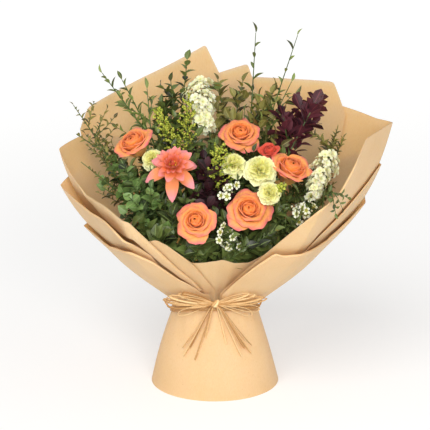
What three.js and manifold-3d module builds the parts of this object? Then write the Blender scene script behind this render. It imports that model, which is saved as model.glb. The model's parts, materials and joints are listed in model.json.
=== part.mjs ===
// A hand-tied mixed bouquet in a paper wrapper, in millimetres, +Z up, seen from -Y.
// It is built round the middle of the paper skirt's foot, on the surface that the bouquet stands on, and
// moved at the end so that the origin is the middle of the whole bouquet's outline on that surface.
// Stems run in a spiral from their cut ends through a twine binding and fan out to the blooms;
// a funnel of overlapping paper sheets stands round them, tied with raffia above a flared skirt.
import * as THREE from "three";
import { mergeVertices } from "three/addons/utils/BufferGeometryUtils.js";
import Module from "manifold-3d";

const wasm = await Module();
wasm.setup();

// Driving dimensions
const footRadius = 89; // foot of the skirt
const waistX = 50; // half width of the innermost sheet at the tie
const waistY = 38;
const tieHeight = 117; // height of the tie at the sides
const tieFrontRise = 16;
const tieBackDrop = 6;
const flareSide = 188; // how far the wrapper opens out, at the sides, front and back
const flareFront = 108;
const flareBack = 85;
const panelFront = 45; // corners of the flat side panels, in degrees from the front
const panelBack = 105;
const panelSets = 105; // height above the tie at which the panels are flat
const flareLength = 104;
const flarePower = 1.3; // 1 opens at once above the tie, more opens straighter
const neckRadius = 22.9; // where the sheets close on the stems, inside the skirt
const neckHeight = 90;
const paperThickness = 0.8;
const layerStep = 1.4; // from one sheet to the next, at the tie and per millimetre above it
const layerFan = 0.015;
const skirtTop = 10.5; // below the tie
const skirtWaistX = 58;
const skirtWaistY = 48;
const skirtBulge = 2;
const bindingHeight = 88;
const bindingInner = 17.3; // the twine that ties the stems
const bindingOuter = 21.4;
const stemSpacing = 4.6; // between the middles of two stems in the binding
const stemRadius = 2.1;
const twigRadius = 2.35;
const twigSink = 3; // how deep a twig starts inside its stem
const spiralTurn = 0.012; // sideways lean of a stem per millimetre from the middle
const footTurn = 0.02;
const clearance = 0.35;
const weld = 0.001; // corners nearer than this are one
const shortEdge = 0.1; // facets smaller than this go where pieces are fused

const colours = {
  paper: "#efcb97",
  raffia: "#c99a5b",
  twine: "#b08d57",
  stem: "#56703a",
  leaf: "#3f5a34",
  rose: "#f4813f",
  bud: "#d8452f",
  salmon: "#f0826b",
  cream: "#f1efc4",
  lemon: "#eef0a0",
  golden: "#a9ae3c",
  wax: "#eeeecd",
  plum: "#4f2529",
};

const radians = THREE.MathUtils.degToRad;
const mix = THREE.MathUtils.lerp;
const V = (x, y, z) => new THREE.Vector3(x, y, z);
const goldenAngle = radians(137.508);

// A repeatable draw between 0 and 1 for the k-th thing of a kind.
function draw(seed, k) {
  const x = Math.sin(seed * 127.1 + k * 311.7) * 43758.5453;
  return x - Math.floor(x);
}

function solid(points, faces) {
  const made = new wasm.Manifold(
    new wasm.Mesh({
      numProp: 3,
      vertProperties: new Float32Array(points.flatMap((p) => [p.x, p.y, p.z])),
      triVerts: new Uint32Array(faces.flat()),
    }),
  );
  if (made.volume() >= 0) return made;
  return solid(
    points,
    faces.map(([a, b, c]) => [a, c, b]),
  );
}

function solidOfGeometry(geometry, matrix) {
  const bare = geometry.clone();
  bare.deleteAttribute("normal");
  bare.deleteAttribute("uv");
  const merged = mergeVertices(bare.applyMatrix4(matrix), 1e-3);
  const position = merged.getAttribute("position");
  const points = [];
  for (let i = 0; i < position.count; i++) points.push(new THREE.Vector3().fromBufferAttribute(position, i));
  const faces = [];
  const index = merged.index.array;
  for (let i = 0; i < index.length; i += 3) {
    const face = [index[i], index[i + 1], index[i + 2]];
    if (new Set(face).size === 3) faces.push(face);
  }
  return solid(points, faces);
}

// Every solid made so far, by node, so that a new leaf or petal can be kept clear of the other nodes.
const pieces = new Map();

function add(node, made, blade = false) {
  if (!pieces.has(node)) pieces.set(node, []);
  pieces.get(node).push({ made, box: made.boundingBox(), blade });
}

function boxesNear(a, b, gap) {
  return [0, 1, 2].every((k) => a.min[k] - gap < b.max[k] && b.min[k] - gap < a.max[k]);
}

// Whether a new piece misses every other node, and, as a blade, the other blades of its own node.
function isClear(node, made, blade = false) {
  const box = made.boundingBox();
  for (const [other, list] of pieces) {
    for (const piece of list) {
      if (other === node && !(blade && piece.blade)) continue;
      if (!boxesNear(box, piece.box, clearance)) continue;
      if (made.minGap(piece.made, clearance) < clearance) return false;
    }
  }
  return true;
}

// Adds the first of several placings of one repeat that is clear. Blades also keep off each other.
function addIfClear(node, placings, blade = false) {
  for (const place of placings) {
    const made = place();
    if (isClear(node, made, blade)) {
      add(node, made, blade);
      return true;
    }
    made.delete();
  }
  return false;
}

// Wrapper

function tieAt(phi) {
  const front = Math.cos(phi);
  return tieHeight + front * (front > 0 ? tieFrontRise : tieBackDrop);
}

// How far the wall has opened at a height above the tie, as a share, and how steeply.
function flare(rise) {
  return 1 - Math.exp(-((Math.max(0, rise) / flareLength) ** flarePower));
}

function flareSlope(rise) {
  const share = Math.max(rise, 12) / flareLength;
  return (flarePower / flareLength) * share ** (flarePower - 1) * Math.exp(-(share ** flarePower));
}

// A point on the oval wall. turn runs in degrees from the front (0) to the right (+) and left (-), and rise
// is the height above the tie. neck runs from 0 at the waist to 1 where the sheets close on the stems.
function ovalWall(turn, rise, { layer, splay = 0 }, neck = 0) {
  const phi = radians(turn);
  const side = Math.sin(phi) ** 2;
  const spread = mix(Math.cos(phi) > 0 ? flareFront : flareBack, flareSide, side);
  const waist = mix(waistY, waistX, side);
  const funnelSlope = (waist - neckRadius) / (tieAt(phi) - neckHeight);
  const slope = mix(spread * flareSlope(rise), funnelSlope, neck);
  const long = Math.hypot(1, slope);
  const out = layer * (layerStep + layerFan * rise) + splay * rise;
  const reach = spread * flare(rise) + out / long;
  const x = (mix(waistX, neckRadius, neck) + reach) * Math.sin(phi);
  const y = -(mix(waistY, neckRadius, neck) + reach) * Math.cos(phi);
  return V(x, y, mix(tieAt(phi), neckHeight, neck) + rise - (out * slope) / long);
}

// The wall with its flat side panels, between two corners on each side, that set in above the tie.
function smoothWall(turn, rise, sheet, neck = 0) {
  const round = turn - 360 * Math.round(turn / 360);
  const side = Math.sign(round);
  const point = ovalWall(round, rise, sheet, neck);
  const share = (Math.abs(round) - panelFront) / (panelBack - panelFront);
  if (share <= 0 || share >= 1 || neck) return point;
  const flat = ovalWall(side * panelFront, rise, sheet).lerp(ovalWall(side * panelBack, rise, sheet), share);
  return point.lerp(flat, Math.min(1, rise / panelSets));
}

// The same point on the creased wall: every sheet has its flat facets between the same folds, so that one
// lies inside the next without touching it. A rise below 0 means the neck, where the sheets end.
function wallPoint(turn, rise, sheet) {
  const column = Math.floor(turn / foldStep) * foldStep;
  const row = Math.max(0, folds.findLastIndex((level) => level <= rise && level < folds.at(-1)));
  const across = (turn - column) / foldStep;
  const up = (rise - folds[row]) / (folds[row + 1] - folds[row]);
  const level = (height, neck) =>
    smoothWall(column, height, sheet, neck).lerp(smoothWall(column + foldStep, height, sheet, neck), across);
  if (rise < 0) return level(0, 1);
  return level(folds[row], 0).lerp(level(folds[row + 1], 0), up);
}

// Each sheet's layer, counted outwards, and its free edge as corners of [turn from the front in degrees,
// height above the tie]. Its sides run straight down from the ends. roll says between which turns the edge
// rolls outwards, and by how much.
const sheets = {
  paper_front_centre: {
    layer: 0,
    rim: [[-40, 96], [-30, 85], [-19, 59], [-8, 59], [6, 65], [16, 59], [27, 60], [35, 74], [45, 92]],
  },
  paper_front_inner: {
    layer: 1,
    rim: [[-45, 104], [-39, 98], [-35, 101], [-30, 93], [-17, 58], [-8, 26], [1, 10]],
  },
  paper_left: {
    layer: 2,
    roll: [-70, -14, 4],
    rim: [
      [-134, 205], [-124, 219], [-105, 204], [-97, 164], [-87, 143], [-59, 142],
      [-39, 99], [-31, 52], [-20, 15], [-8, 9],
    ],
  },
  paper_back_left: {
    layer: 3,
    rim: [[-119, 222], [-124, 251], [-147, 291], [-175, 336], [-184, 287], [-192, 250]],
  },
  paper_back_middle: {
    layer: 4,
    rim: [[190, 280], [178, 296], [164, 308], [160, 276], [154, 240]],
  },
  paper_back_right: {
    layer: 5,
    rim: [[176, 282], [162, 289], [145, 286], [130, 284], [124, 240]],
  },
  paper_left_low: {
    layer: 4,
    splay: 0.09,
    rim: [[-121, 152], [-116, 166], [-105, 159], [-80, 132], [-62, 112], [-51, 105], [-40, 84]],
  },
  paper_front_left: {
    layer: 5.4,
    splay: 0.12,
    roll: [-70, -10, 3],
    rim: [
      [-112, 96], [-105, 106], [-98, 111], [-64, 110], [-38, 108], [-28, 97],
      [-23, 65], [-16, 24], [-7, 10],
    ],
  },
  paper_right: {
    layer: 6,
    roll: [12, 50, 3],
    rim: [
      [142, 232], [130, 254], [113, 241], [105, 241], [75, 234], [69, 207], [60, 172], [45, 161],
      [38, 131], [28, 87], [17, 42], [6, 12],
    ],
  },
  paper_right_low: {
    layer: 7,
    rim: [[126, 180], [117, 197], [105, 184], [90, 165], [75, 141], [60, 108], [50, 92]],
  },
  paper_front_right: {
    layer: 8,
    splay: 0.02,
    roll: [14, 112, 3],
    rim: [
      [117, 128], [110, 151], [105, 144], [90, 125], [75, 114], [57, 116],
      [45, 110], [39, 100], [30, 102], [25, 80], [18, 52], [8, 14],
    ],
  },
};
const folds = [0, 20, 52, 105, 190, 340]; // heights above the tie at which every sheet creases
const foldStep = 15; // degrees between the creases that run up the sheets
const steepest = 45; // most that the free edge climbs from one column of a sheet to the next

// The columns of a sheet: the corners of its free edge, the creases between them, and more where it climbs.
function rimColumns(rim) {
  const columns = [rim[0]];
  for (let k = 1; k < rim.length; k++) {
    const [from, low] = rim[k - 1];
    const [to, high] = rim[k];
    const shares = [1];
    const climbs = Math.ceil(Math.abs(high - low) / steepest);
    for (let i = 1; i < climbs; i++) shares.push(i / climbs);
    for (let crease = -360; crease <= 360; crease += foldStep) {
      const share = (crease - from) / (to - from);
      const far = [0, ...shares].every((other) => Math.abs(other - share) * Math.abs(to - from) > 2);
      if (share > 0 && share < 1 && far) shares.push(share);
    }
    shares.sort((a, b) => a - b);
    for (const share of shares) columns.push([mix(from, to, share), mix(low, high, share)]);
  }
  return columns;
}

// A sheet is a strip of columns. Each column runs from the neck through the folds to the free edge.
function paperSheet(sheet) {
  const roll = sheet.roll ?? [0, 0, 0];
  const columns = rimColumns(sheet.rim).map(([turn, height]) => {
    const rises = [-1, ...folds.filter((level) => level < height - 5), height];
    const wall = rises.map((rise) => ({ rise, point: wallPoint(turn, rise, sheet) }));
    return wall.map((spot, i, all) => {
      const up = all[Math.min(i + 1, all.length - 1)].point.clone().sub(all[Math.max(i - 1, 0)].point);
      const round = V(Math.cos(radians(turn)), Math.sin(radians(turn)), 0);
      const normal = round.cross(up).normalize();
      const rolled = i === all.length - 1 && turn >= roll[0] && turn <= roll[1];
      const lift = rolled ? roll[2] * Math.min(1, height / 60) : 0;
      return { rise: spot.rise, normal, point: spot.point.addScaledVector(normal, lift) };
    });
  });
  const spots = columns.flat();
  const starts = columns.map((_, k) => columns.slice(0, k).reduce((sum, column) => sum + column.length, 0));
  const half = paperThickness / 2;
  const points = [1, -1].flatMap((way) => spots.map((s) => s.point.clone().addScaledVector(s.normal, way * half)));
  const count = spots.length;
  const faces = [];
  const face = (a, b, c) => faces.push([a, b, c], [count + a, count + c, count + b]);
  const border = (a, b) => faces.push([b, a, count + a], [b, count + a, count + b]);
  for (let k = 0; k + 1 < columns.length; k++) {
    const [left, right] = [columns[k], columns[k + 1]];
    let i = 0;
    let j = 0;
    while (i + 1 < left.length || j + 1 < right.length) {
      const lower = i + 1 < left.length && j + 1 < right.length && left[i + 1].rise <= right[j + 1].rise;
      const climbLeft = j + 1 >= right.length || lower;
      if (climbLeft) {
        face(starts[k] + i, starts[k + 1] + j, starts[k] + i + 1);
        i += 1;
      } else {
        face(starts[k] + i, starts[k + 1] + j, starts[k + 1] + j + 1);
        j += 1;
      }
    }
    border(starts[k], starts[k + 1]);
    border(starts[k + 1] + right.length - 1, starts[k] + left.length - 1);
  }
  const last = columns.length - 1;
  for (let i = 0; i + 1 < columns[last].length; i++) border(starts[last] + i, starts[last] + i + 1);
  for (let i = columns[0].length - 1; i > 0; i--) border(i, i - 1);
  return solid(points, faces);
}

// A ring round the bouquet from a list of rows; section(phi) gives its corners, in order.
function ringSolid(segments, section) {
  const corners = section(0).length;
  const points = [];
  const faces = [];
  for (let i = 0; i < segments; i++) {
    points.push(...section((i / segments) * 2 * Math.PI));
    for (let j = 0; j < corners; j++) {
      const a = i * corners + j;
      const b = i * corners + ((j + 1) % corners);
      const c = ((i + 1) % segments) * corners + ((j + 1) % corners);
      const d = ((i + 1) % segments) * corners + j;
      faces.push([a, b, c], [a, c, d]);
    }
  }
  return solid(points, faces);
}

const skirtSegments = 28;

// A point of the skirt's outer face, moved in by depth. share runs from the foot (0) to the waist (1).
function skirtPoint(phi, share, depth = 0) {
  const bulge = skirtBulge * Math.sin(Math.PI * share) - depth;
  const x = (mix(footRadius, skirtWaistX, share) + bulge) * Math.sin(phi);
  const y = -(mix(footRadius, skirtWaistY, share) + bulge) * Math.cos(phi);
  return V(x, y, share * (tieAt(phi) - skirtTop));
}

function skirt() {
  const shares = [0, 0.5, 1];
  return ringSolid(skirtSegments, (phi) => [
    ...shares.map((share) => skirtPoint(phi, share)),
    ...shares.map((share) => skirtPoint(phi, share, paperThickness)).reverse(),
  ]);
}

// Raffia

const bandHeight = 7;
const bandDepth = 2.4;
const bandGap = 0.4;
const bandLow = 1 - bandHeight / (tieHeight - skirtTop); // share of the skirt's height
const strandWidth = 1.7; // half width of a raffia strand
const strandDepth = 1.2;
const knotHeight = 126;
const knotSeat = 2.2; // middle of the knot from the band that it is tied on

function raffiaBand() {
  return ringSolid(skirtSegments, (phi) => [
    skirtPoint(phi, bandLow, -bandGap),
    skirtPoint(phi, bandLow, -bandGap - bandDepth),
    skirtPoint(phi, 1, -bandGap - bandDepth),
    skirtPoint(phi, 1, -bandGap),
  ]);
}

// How far out the wrapper, skirt and band reach at a turn and a height.
function outside(phi, z) {
  const side = Math.sin(phi) ** 2;
  const top = tieAt(phi) - skirtTop;
  if (z < top - bandHeight) return mix(footRadius, mix(skirtWaistY, skirtWaistX, side), z / top) + skirtBulge;
  const rise = Math.max(0, z - tieAt(phi) + 10);
  const spread = mix(flareFront, flareSide, side);
  const wall = mix(waistY, waistX, side) + spread * flare(rise) + 9;
  return Math.max(wall, mix(skirtWaistY, skirtWaistX, side) + 5);
}

// A flat strand along points, with its width across the way that it lies.
function strand(points, faceOut) {
  const rings = points.map((p, i) => {
    const ahead = points[Math.min(i + 1, points.length - 1)];
    const behind = points[Math.max(i - 1, 0)];
    const along = ahead.clone().sub(behind).normalize();
    const out = faceOut(p).addScaledVector(along, -faceOut(p).dot(along)).normalize();
    const across = out.clone().cross(along).normalize();
    return [
      p.clone().addScaledVector(across, strandWidth),
      p.clone().addScaledVector(out, strandDepth),
      p.clone().addScaledVector(across, -strandWidth),
    ];
  });
  return sleeve(rings);
}

// A closed solid through rings of points, with a flat cap at each end.
function sleeve(rings) {
  const sides = rings[0].length;
  const faces = [];
  for (let i = 0; i + 1 < rings.length; i++) {
    for (let j = 0; j < sides; j++) {
      const a = i * sides + j;
      const b = i * sides + ((j + 1) % sides);
      faces.push([a, b, b + sides], [a, b + sides, a + sides]);
    }
  }
  const last = (rings.length - 1) * sides;
  for (let j = 1; j + 1 < sides; j++) faces.push([0, j + 1, j], [last, last + j, last + j + 1]);
  return solid(rings.flat(), faces);
}

const outwards = (p) => V(p.x, p.y, 0).normalize();

// [how far round in degrees, height of the loop's middle above the knot, half height, how far it stands out]
const bowLoops = [
  [-66, 4, 7, 4],
  [-42, 9, 5, 7],
  [64, 3, 8, 4],
  [55, -7, 7, 6],
  [40, 10, 5, 7],
];
// [sideways reach, height of the end]
const bowTails = [
  [-43, 58],
  [-30, 56],
  [-20, 78],
  [16, 72],
  [36, 58],
  [49, 60],
];

function raffiaBow() {
  const knotOut = outside(0, knotHeight) + 2.2;
  const knot = new THREE.SphereGeometry(1, 7, 5);
  const bandFace = -skirtPoint(0, bandLow, -bandGap - bandDepth).y;
  const place = new THREE.Matrix4().makeTranslation(0, -bandFace - knotSeat, knotHeight - 4);
  add("raffia_bow", solidOfGeometry(knot, place.scale(V(7, 3.6, 8))));
  for (const [reach, middle, half, stand] of bowLoops) {
    const points = [];
    const steps = 7;
    for (let i = 0; i <= steps; i++) {
      const t = i / steps;
      const phi = radians(reach) * Math.sin(Math.PI * t) ** 0.8;
      const z = knotHeight + middle * Math.sin(Math.PI * t) + half * Math.sin(2 * Math.PI * t);
      const r = outside(phi, z) + 2.2 + stand * Math.sin(Math.PI * t);
      points.push(V(r * Math.sin(phi), -r * Math.cos(phi), z));
    }
    add("raffia_bow", strand(points, outwards));
  }
  for (const [sideways, low] of bowTails) {
    const points = [];
    const steps = 3;
    for (let i = 0; i <= steps; i++) {
      const t = i / steps;
      const z = mix(knotHeight - 1, low, t);
      const phi = Math.asin((sideways * t ** 0.85) / 75);
      const r = Math.max(outside(phi, z), mix(knotOut, 0, t * 3)) + 1.6;
      points.push(V(r * Math.sin(phi), -r * Math.cos(phi), z));
    }
    add("raffia_bow", strand(points, outwards));
  }
}

// Stems

// A round stem through points, with a radius at each end.
function stemSolid(points, fromRadius, toRadius, sides, endWay) {
  const rings = points.map((p, i) => {
    const ahead = points[Math.min(i + 1, points.length - 1)];
    const behind = points[Math.max(i - 1, 0)];
    const way = i === points.length - 1 && endWay ? endWay : ahead.clone().sub(behind);
    const along = p.z < 1 ? V(0, 0, 1) : way.clone().normalize();
    const across = V(1, 0, 0).cross(along).normalize();
    const up = along.clone().cross(across);
    const radius = mix(fromRadius, toRadius, i / (points.length - 1));
    return Array.from({ length: sides }, (_, k) => {
      const angle = (2 * Math.PI * k) / sides;
      return p
        .clone()
        .addScaledVector(across, radius * Math.cos(angle))
        .addScaledVector(up, radius * Math.sin(angle));
    });
  });
  return sleeve(rings);
}

// The places of the stems in the binding: rings of six, twelve and eighteen round one in the middle.
function bindingSlots() {
  const slots = [];
  for (let ring = 0; ring <= 3; ring++) {
    for (let k = 0; k < Math.max(1, ring * 6); k++) {
      const corner = Math.floor(k / Math.max(1, ring));
      const share = ring ? (k % ring) / ring : 0;
      const from = V(Math.cos(radians(60 * corner)), Math.sin(radians(60 * corner)), 0);
      const to = V(Math.cos(radians(60 * corner + 60)), Math.sin(radians(60 * corner + 60)), 0);
      slots.push({ ring, place: from.lerp(to, share).multiplyScalar(ring * stemSpacing) });
    }
  }
  return slots;
}

// Gives each plant a slot near its own side of the bouquet, so that the stems don't cross.
function assignSlots(plants) {
  const lean = radians(25);
  const slots = bindingSlots();
  const byReach = [...plants].sort((a, b) => Math.hypot(a.top.x, a.top.y) - Math.hypot(b.top.x, b.top.y));
  const bearing = (p) => Math.atan2(p.y, p.x);
  let taken = 0;
  for (let ring = 0; ring <= 3; ring++) {
    const places = slots.filter((s) => s.ring === ring).map((s) => s.place);
    const group = byReach.slice(taken, taken + places.length);
    taken += group.length;
    group.sort((a, b) => bearing(a.top) - bearing(b.top));
    places.sort((a, b) => bearing(a) - bearing(b));
    let best = null;
    for (let shift = 0; shift < places.length; shift++) {
      const chosen = group.map((_, k) => {
        return places[(Math.round((k * places.length) / group.length) + shift) % places.length];
      });
      const cost = group.reduce((sum, plant, k) => {
        const turn = bearing(plant.top) - lean - bearing(chosen[k]);
        return sum + 1 - Math.cos(turn);
      }, 0);
      if (!best || cost < best.cost) best = { cost, chosen };
    }
    group.forEach((plant, k) => (plant.slot = best.chosen[k].clone().setZ(bindingHeight)));
  }
}

const stemPoints = 7;
const stemClear = 5.4;
const wallMargin = 6;

// The way of each stem from its slot to its head, bent clear of the others, the blooms and the wrapper.
function routeStems(plants) {
  for (const plant of plants) {
    const rise = plant.top.z - bindingHeight;
    const slotWay = V(-plant.slot.y * spiralTurn, plant.slot.x * spiralTurn, 1);
    const first = plant.slot.clone().addScaledVector(slotWay, rise * 0.42);
    const last = plant.top.clone().addScaledVector(plant.way, -rise * 0.3);
    const curve = new THREE.CubicBezierCurve3(plant.slot, first, last, plant.top);
    plant.route = curve.getPoints(stemPoints);
  }
  const heads = plants.filter((p) => p.radius);
  const passes = 160;
  for (let pass = 0; pass < passes; pass++) {
    for (let a = 0; a < plants.length; a++) {
      for (let b = a + 1; b < plants.length; b++) {
        for (let i = 0; i < stemPoints; i++) {
          for (let j = 0; j < stemPoints; j++) pushApart(plants[a].route, i, plants[b].route, j);
        }
      }
    }
    for (const plant of plants) {
      for (let i = 1; i < stemPoints; i++) {
        const p = plant.route[i];
        for (const head of heads) {
          const away = p.clone().sub(head.head);
          const need = head.radius + 4;
          if (head !== plant && away.length() < need) {
            p.addScaledVector(away.normalize(), (need - away.length()) * 0.3);
          }
        }
        keepInside(p);
        const smooth = plant.route[i - 1].clone().add(plant.route[i + 1]).multiplyScalar(0.5);
        if (i > 1 && pass < passes - 50) p.lerp(smooth, 0.05);
      }
    }
  }
}

// Moves two segments of two stems apart where they come too close.
function pushApart(first, i, second, j) {
  const [a, b, c, d] = [first[i], first[i + 1], second[j], second[j + 1]];
  const reach = a.distanceTo(b) + c.distanceTo(d) + stemClear * 2;
  if (a.distanceTo(c) + b.distanceTo(d) > reach + 20) return;
  const u = b.clone().sub(a);
  const v = d.clone().sub(c);
  const w = a.clone().sub(c);
  const [uu, uv, vv, uw, vw] = [u.dot(u), u.dot(v), v.dot(v), u.dot(w), v.dot(w)];
  const det = uu * vv - uv * uv;
  let s = det > 1e-6 ? THREE.MathUtils.clamp((uv * vw - vv * uw) / det, 0, 1) : 0.5;
  const t = THREE.MathUtils.clamp((uv * s + vw) / vv, 0, 1);
  s = THREE.MathUtils.clamp((uv * t - uw) / uu, 0, 1);
  const away = a.clone().addScaledVector(u, s).sub(c.clone().addScaledVector(v, t));
  const gap = away.length();
  if (gap >= stemClear || gap < 1e-6) return;
  away.multiplyScalar(((stemClear - gap) / gap) * 0.3);
  if (i > 0) a.addScaledVector(away, 1 - s);
  if (i + 1 < stemPoints) b.addScaledVector(away, s);
  if (j > 0) c.addScaledVector(away, t - 1);
  if (j + 1 < stemPoints) d.addScaledVector(away, -t);
}

// Moves a point of a plant in from the wrapper's wall.
function keepInside(p, margin = wallMargin) {
  const phi = Math.atan2(p.x, -p.y);
  const rise = p.z - tieAt(phi);
  const wall = smoothWall(THREE.MathUtils.radToDeg(phi), Math.max(0, rise), { layer: 0 });
  const waist = mix(waistY, waistX, Math.sin(phi) ** 2);
  const funnel = mix(neckRadius, waist, (p.z - neckHeight) / (tieAt(phi) - neckHeight));
  const most = (rise > 0 ? Math.hypot(wall.x, wall.y) : funnel) - margin;
  const reach = Math.hypot(p.x, p.y);
  if (reach > most) {
    p.x *= most / reach;
    p.y *= most / reach;
  }
  return p;
}

// The stem below the binding, leaning on round to its cut end on the surface.
function stemFoot(slot) {
  return V(slot.x + slot.y * footTurn * bindingHeight, slot.y - slot.x * footTurn * bindingHeight, 0);
}

// Leaves, petals and florets

// A leaf: a pointed blade, raised along its midrib. stations are [share of length, share of half width].
const leafForms = {
  narrow: [[0.42, 1]],
  oval: [[0.28, 0.85], [0.66, 0.9]],
  round: [[0.3, 0.9], [0.74, 0.95]],
  spoon: [[0.3, 0.5], [0.7, 1]],
};

function leaf(root, way, face, length, width, form, bend = 0.16, thickness = 1.1) {
  const along = way.clone().normalize();
  const up = face.clone().addScaledVector(along, -face.dot(along)).normalize();
  const left = up.clone().cross(along);
  const at = (share, side, lift) =>
    root
      .clone()
      .addScaledVector(along, share * length)
      .addScaledVector(left, side)
      .addScaledVector(up, lift - bend * length * share ** 2);
  const points = [at(0, 0, 0)];
  const stations = leafForms[form];
  for (const [share, wide] of stations) {
    points.push(at(share, (wide * width) / 2, 0), at(share, (-wide * width) / 2, 0));
  }
  const tip = points.push(at(1, 0, 0)) - 1;
  const rib = points.push(at(0.4, 0, thickness)) - 1;
  const faces = [[0, 2, 1], [rib, 0, 1], [rib, 2, 0]];
  let [l, r] = [1, 2];
  for (let k = 1; k < stations.length; k++) {
    faces.push([l, r, r + 2], [l, r + 2, l + 2], [rib, r + 2, r], [rib, l, l + 2]);
    [l, r] = [l + 2, r + 2];
  }
  faces.push([l, r, tip], [rib, tip, r], [rib, l, tip]);
  return solid(points, faces);
}

// A blade with any outline, thickest at a point in its middle.
function fanBlade(outline, middle, thickness) {
  const normal = V(0, 0, 0);
  outline.forEach((p, k) => {
    const next = outline[(k + 1) % outline.length];
    normal.add(p.clone().sub(middle).cross(next.clone().sub(middle)));
  });
  normal.normalize().multiplyScalar(thickness / 2);
  const [top, low] = [outline.length, outline.length + 1];
  const faces = outline.flatMap((_, k) => {
    const next = (k + 1) % outline.length;
    return [[top, k, next], [low, next, k]];
  });
  return solid([...outline, middle.clone().add(normal), middle.clone().sub(normal)], faces);
}

// The matrix that stands a flower's own Z along an axis, with its foot at a point.
function stand(foot, axis, turn = 0) {
  const turned = new THREE.Quaternion().setFromUnitVectors(V(0, 0, 1), axis.clone().normalize());
  turned.multiply(new THREE.Quaternion().setFromAxisAngle(V(0, 0, 1), turn));
  return new THREE.Matrix4().compose(foot, turned, V(1, 1, 1));
}

// A petal that wraps round a flower's middle. On it, u runs across from -1 to 1 and v up from 0 to 1.
function cupPetal(matrix, { turn, base, reach, height, half, curl }) {
  const twist = 0.9;
  const at = (u, v) => {
    const angle = turn + u * half;
    const out = mix(base, reach, v ** 1.15) + twist * u + curl * v ** 4;
    const z = 1 + height * Math.sin((Math.PI / 2) * v ** 0.9) - curl * 0.7 * v ** 5;
    return V(out * Math.sin(angle), -out * Math.cos(angle), z).applyMatrix4(matrix);
  };
  const outline = [at(0, 0), at(0.96, 0.5), at(0.66, 0.93), at(0, 1), at(-0.66, 0.93), at(-0.96, 0.5)];
  return fanBlade(outline, at(0, 0.56), 1.1);
}

// Each ring of a rose's petals, from the heart out: how many, and their size for a 60 mm head.
const roseRings = [
  { count: 3, base: 3, reach: 3.4, height: 26, half: 1.15, curl: 0 },
  { count: 3, base: 4, reach: 11.5, height: 27, half: 1.0, curl: 1 },
  { count: 4, base: 5, reach: 18, height: 24, half: 0.9, curl: 2 },
  { count: 5, base: 5.5, reach: 26, height: 18, half: 0.8, curl: 3 },
];
const roseHead = 30; // radius of an open rose

// The solid middle that the petals' feet sink into, turned round the flower's axis.
function addHeart(node, matrix, profile, sides = 6) {
  const turned = new THREE.LatheGeometry(profile.map(([r, z]) => new THREE.Vector2(r, z)), sides);
  add(node, solidOfGeometry(turned.rotateX(Math.PI / 2), matrix));
}

const roseHeart = [[0, -2], [4.8, -2], [7, 1.5], [5, 6], [0, 9]];

function addRose(node, foot, axis, size, open, rings, seed) {
  const scale = size / roseHead;
  const matrix = stand(foot, axis, seed * 1.7).scale(V(scale, scale, scale));
  addHeart(node, matrix, roseHeart);
  let turn = 0;
  rings.forEach((ring, layer) => {
    for (let k = 0; k < ring.count; k++) {
      turn += (2 * Math.PI) / ring.count;
      const reach = layer ? mix(ring.base + 2, ring.reach, open) : ring.reach;
      const shaped = { ...ring, turn: turn + 0.2 * draw(seed, layer * 7 + k), reach, curl: ring.curl * open };
      addIfClear(
        node,
        [1, 0.9, 0.8].map((share) => () => {
          const smaller = { ...shaped, reach: reach * share, curl: shaped.curl * (share === 1) };
          return cupPetal(matrix, smaller);
        }),
      );
    }
    turn += 0.9;
  });
}

// Each ring of a lily's petals, pointed and turned back at their tips.
const lilyRings = [
  { count: 6, length: 34, width: 17, lift: 0.42, bend: 0.26, turn: 0.1 },
  { count: 6, length: 25, width: 14, lift: 0.85, bend: 0.2, turn: 0.6 },
  { count: 3, length: 18, width: 9, lift: 1.2, bend: 0.1, turn: 0.2 },
];

function addLily(node, foot, axis) {
  addHeart(node, stand(foot, axis), [[0, -2], [3, -2], [4.4, 1], [3.6, 7], [0, 10]]);
  lilyRings.forEach((ring, layer) => {
    for (let k = 0; k < ring.count; k++) {
      const turn = ring.turn + ((k + 0.3 * draw(layer + 3, k)) / ring.count) * 2 * Math.PI;
      const spin = new THREE.Matrix4().extractRotation(stand(foot, axis, turn));
      const way = V(Math.cos(ring.lift), 0, Math.sin(ring.lift)).applyMatrix4(spin);
      const face = V(-Math.sin(ring.lift), 0, Math.cos(ring.lift)).applyMatrix4(spin);
      const root = foot.clone().addScaledVector(axis, 2 + layer * 1.2).addScaledVector(way, 1);
      addIfClear(
        node,
        [1, 0.88, 0.76].map((share) => () =>
          leaf(root, way, face, ring.length * share, ring.width, "spoon", ring.bend, 1.4),
        ),
      );
    }
  });
}

const carnationRings = [
  { count: 3, lift: 1.2 },
  { count: 4, lift: 0.8 },
  { count: 5, lift: 0.3 },
];

// A fringed petal: a fan whose outer edge is cut into teeth, with a thicker middle.
function fringedPetal(matrix, turn, length, fan, lift, seed) {
  const way = (angle) => V(Math.cos(angle) * Math.cos(lift), Math.sin(angle) * Math.cos(lift), Math.sin(lift));
  const outline = [V(0, 0, 0)];
  [-1, -0.45, 0.3, 0.95].forEach((u, k) => {
    const reach = length * ((k % 2 ? 1.04 : 0.86) + 0.1 * draw(seed, k));
    outline.push(way(turn + u * fan).multiplyScalar(reach).add(V(0, 0, (k % 2 ? 1 : -1) * length * 0.07)));
  });
  const middle = way(turn).multiplyScalar(length * 0.6);
  const placed = [...outline, middle].map((p) => p.add(V(0, 0, 1.5)).applyMatrix4(matrix));
  return fanBlade(placed.slice(0, -1), placed.at(-1), 1.2);
}

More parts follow.
